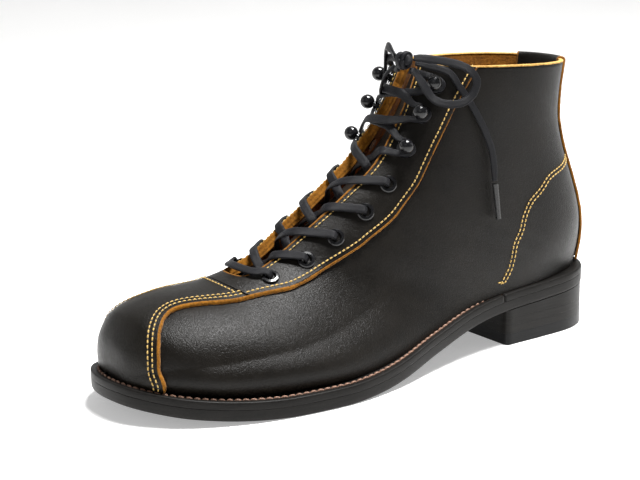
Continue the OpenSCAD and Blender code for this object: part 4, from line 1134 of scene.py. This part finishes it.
def make_outsole():
    t = OUTSOLE_T
    prof = [(1.6, 0.0), (0.8, 0.1), (0.3, 0.4), (0.05, 1.0), (0.0, 2.0), (0.0, 3.6), (0.0, t - 0.3),
            (0.04, t - 0.02), (0.3, t), (1.5, t)]
    rings = np.array([lifted(inset(OUTLINE, a), z) for a, z in prof])
    b = Build()
    b.grid(rings, 0, wrap=True)
    b.grid(cap_grid(inset(OUTLINE, 1.6), 0.0), 0)
    b.grid(cap_grid(inset(OUTLINE, 1.5), t), 0)
    b.make("outsole_visual", [M["sole"]], slot="sole_edge", replace=["outsole"])


def arc_of(y0, y1):
    """Indices of the outline with y between two values, as one open run in order."""
    inside = (OUTLINE[:, 1] >= y0) & (OUTLINE[:, 1] <= y1)
    start = [i for i in range(len(inside)) if inside[i] and not inside[i - 1]][0]
    idx = [(start + k) % len(inside) for k in range(len(inside))]
    return [i for i in idx if inside[i]]


def ledge(name, idx, prof, replace):
    """A profile swept along part of the outline, closed at both ends."""
    rings = np.array([lifted(inset(OUTLINE, a), z)[idx] for a, z in prof])
    b = Build()
    b.grid(rings.transpose(1, 0, 2), 0, wrap=True)
    for end in (0, -1):
        e = rings[:, end]
        mid = np.repeat(e.mean(0)[None], len(e), 0)
        b.grid(np.array([e, mid * 0.999 + e * 0.001]), 0, wrap=True)
    b.make(name, [M["welt"]], slot="sole_edge", replace=[replace])


def make_welt():
    lo, hi = OUTSOLE_T + 0.05, SOLE_T
    foot = [(0.3, lo), (0.03, lo + 0.02), (0.0, lo + 0.3)]
    groove = foot + [(0.0, hi - 0.9), (0.25, hi - 0.2), (0.7, hi), (3.2, hi), (3.55, hi - 0.15),
                     (3.8, hi - 0.5), (4.3, hi - 0.55), (4.6, hi - 0.15), (5.0, hi), (8, hi),
                     (11.8, hi), (11.8, lo)]
    ledge("welt_visual", arc_of(-160, 74), groove, "welt")
    plain = foot + [(0.0, hi - 1.0), (0.3, hi - 0.25), (0.9, hi), (5, hi), (8.8, hi), (8.8, lo)]
    ledge("heel_rand_visual", arc_of(74.3, 160), plain, "heel_rand")
    run = arc_of(-160, 70)
    ring = lifted(inset(OUTLINE, 4.05), hi - 0.35)[run]
    up = np.repeat(np.array([[0, 0, 1.0]]), len(ring), 0)
    stitches("welt_stitches", [(ring, up)], 3.9, 3.7, 0.78, M["brown"], "canvas_rib", high=0.2, slant=0.2)


BREAST_Y, TOP_LIFT_T = 76.0, 6.5


def heel_ring():
    """Outline of the heel: the back of the sole, closed by a straight breast with small rounded corners."""
    p = inset(OUTLINE, 0.4)[arc_of(BREAST_Y, 160)]
    a, z = p[0], p[-1]
    front = np.stack([mix(z[0], a[0], k) for k in np.linspace(0, 1, 40)[1:-1]])
    line = np.stack([front, np.full(len(front), BREAST_Y)], -1)
    loop = np.concatenate([p, line])
    for _ in range(3):
        loop = (np.roll(loop, 1, 0) + loop * 2 + np.roll(loop, -1, 0)) / 4
    return loop


def heel_layer(name, z0, z1, corner, mat, slot):
    """One layer of the heel from z0 up to z1, or up to the sole where z1 is None."""
    ring = heel_ring()
    rows = []
    for a, share, off in ((1.3, 0, 0), (1, 0, 0), (corner, 0, 0), (0, 0, corner), (0, 0, corner + 0.2),
                          (0, 0.5, 0), (0, 1, -0.22), (0, 1, -0.02), (0.02, 1, 0), (1, 1, 0), (1.3, 1, 0)):
        xy = inset(ring, a)
        hi = np.maximum(LIFT(xy[:, 1]), 0) - 0.05 if z1 is None else np.full(len(xy), z1)
        rows.append(np.concatenate([xy, (mix(z0, hi, share) + off)[:, None]], 1))
    b = Build()
    b.grid(np.array(rows), 0, wrap=True)
    for r in (rows[0], rows[-1]):
        mid = np.repeat(r.mean(0)[None], len(r), 0)
        b.grid(np.array([mix(r, mid, q) for q in (0, 0.3, 0.6, 0.9, 0.999)]), 0, wrap=True)
    b.make(name + "_visual", [M[mat]], slot=slot, replace=[name])


def make_heel():
    """Rubber top lift and three leather lifts; the upper one follows the sole."""
    thick = (HEEL_H - TOP_LIFT_T) / 3
    heel_layer("top_lift", 0.0, TOP_LIFT_T - 0.03, 0.3, "rubber", "heel_rubber")
    for k in range(3):
        z0 = TOP_LIFT_T + k * thick
        z1 = TOP_LIFT_T + (k + 1) * thick if k < 2 else None
        heel_layer(f"heel_lift_{k + 1}", z0, z1, 0.02, "stack", "heel_leather")


# ---------------------------------------------------------------- carried-over CAD nodes
def paint(mat, *names):
    for n in names:
        ob = NODES[n]
        ob.data.materials.clear()
        ob.data.materials.append(M[mat])
        for poly in ob.data.polygons:
            poly.material_index = 0


def paint_nodes():
    eyes = [f"eyelet_{s}_{k}" for s in ("left", "right") for k in range(1, 6)]
    hooks = [f"hook_{s}_{k}" for s in ("left", "right") for k in range(1, 4)]
    paint("enamel", *eyes, *hooks)
    paint("aglet", "aglet_left", "aglet_right")
    paint("flesh", "facing_stay_left", "facing_stay_right", "counter_lining", "sock_liner")
    paint("fibre", "heel_counter", "toe_puff")
    paint("insole", "insole")
    paint("canvas", "insole_rib")
    paint("cork", "cork_filler")
    paint("steel", "shank")
    paint("brass", "heel_nails")


# ---------------------------------------------------------------- floor and light
def make_stage():
    """Pale floor that curves up into a backdrop far behind the boot, square to the camera."""
    me = bpy.data.meshes.new("floor")
    s = 6.0
    pts, faces = [], []
    curve = [(-s, 0), (1.4, 0), (2.0, 0.08), (2.5, 0.4), (2.8, 1.0), (2.9, 2.0), (2.9, 6.0)]
    d = np.array([-math.sin(CAMERA_AZ), math.cos(CAMERA_AZ)])
    r = np.array([d[1], -d[0]])
    for y, z in curve:
        for x in (-s, s):
            q = d * y + r * x
            pts.append((q[0], q[1], z - 0.0001))
    for i in range(len(curve) - 1):
        faces.append([2 * i, 2 * i + 1, 2 * i + 3, 2 * i + 2])
    me.from_pydata(pts, [], faces)
    me.polygons.foreach_set("use_smooth", [True] * len(me.polygons))
    mat, nt, bsdf = new_material("floor", 0.75)
    g = noise(nt, 3, 3, 0.5)
    tone = ramp(nt, g, [(0.3, (0.80, 0.795, 0.785)), (0.7, (0.84, 0.835, 0.825))])
    nt.links.new(tone, bsdf.inputs["Base Color"])
    bsdf.inputs["Specular IOR Level"].default_value = 0.1
    bsdf.inputs["Emission Color"].default_value = (1, 1, 1, 1)
    bsdf.inputs["Emission Strength"].default_value = 0.36
    me.materials.append(mat)
    link("floor", me)


def area_light(name, pos, aim, size, power):
    li = bpy.data.lights.new(name, "AREA")
    li.shape, li.size, li.size_y, li.energy = "RECTANGLE", size[0], size[1], power
    ob = link(name, li)
    ob.location = pos
    ob.rotation_euler = (Vector(aim) - Vector(pos)).to_track_quat("-Z", "Y").to_euler()


def make_lights():
    area_light("top_softbox", (0.17, 0.2, 1.3), (0, 0, 0.05), (0.4, 0.4), 44)
    area_light("left_softbox", (-0.9, -1.1, 0.6), (0, 0, 0.08), (0.7, 0.7), 2)
    area_light("right_softbox", (0.7, 1.3, 0.6), (0, 0, 0.08), (0.6, 0.9), 2.5)
    area_light("front_softbox", (1.1, -1.3, 1.2), (0, 0, 0.06), (0.9, 0.9), 1.5)
    w = bpy.data.worlds.new("world")
    bpy.context.scene.world = w
    w.use_nodes = True
    sky = w.node_tree.nodes["Background"]
    sky.inputs["Color"].default_value = (0.97, 0.98, 1, 1)
    sky.inputs["Strength"].default_value = 0.16


bpy.context.scene.view_settings.view_transform = "Standard"
make_camera()
make_lace()
make_knot()
make_bow()
make_quarters()
make_toe_cap()
make_eyestay()
make_edges()
make_collar()
make_backstay()
make_tongue()
make_tongue_facing()
make_edge_stitches()
make_throat_stitches()
make_counter_stitches()
make_backstay_stitches()
make_outsole()
make_welt()
make_heel()
paint_nodes()
make_stage()
make_lights()
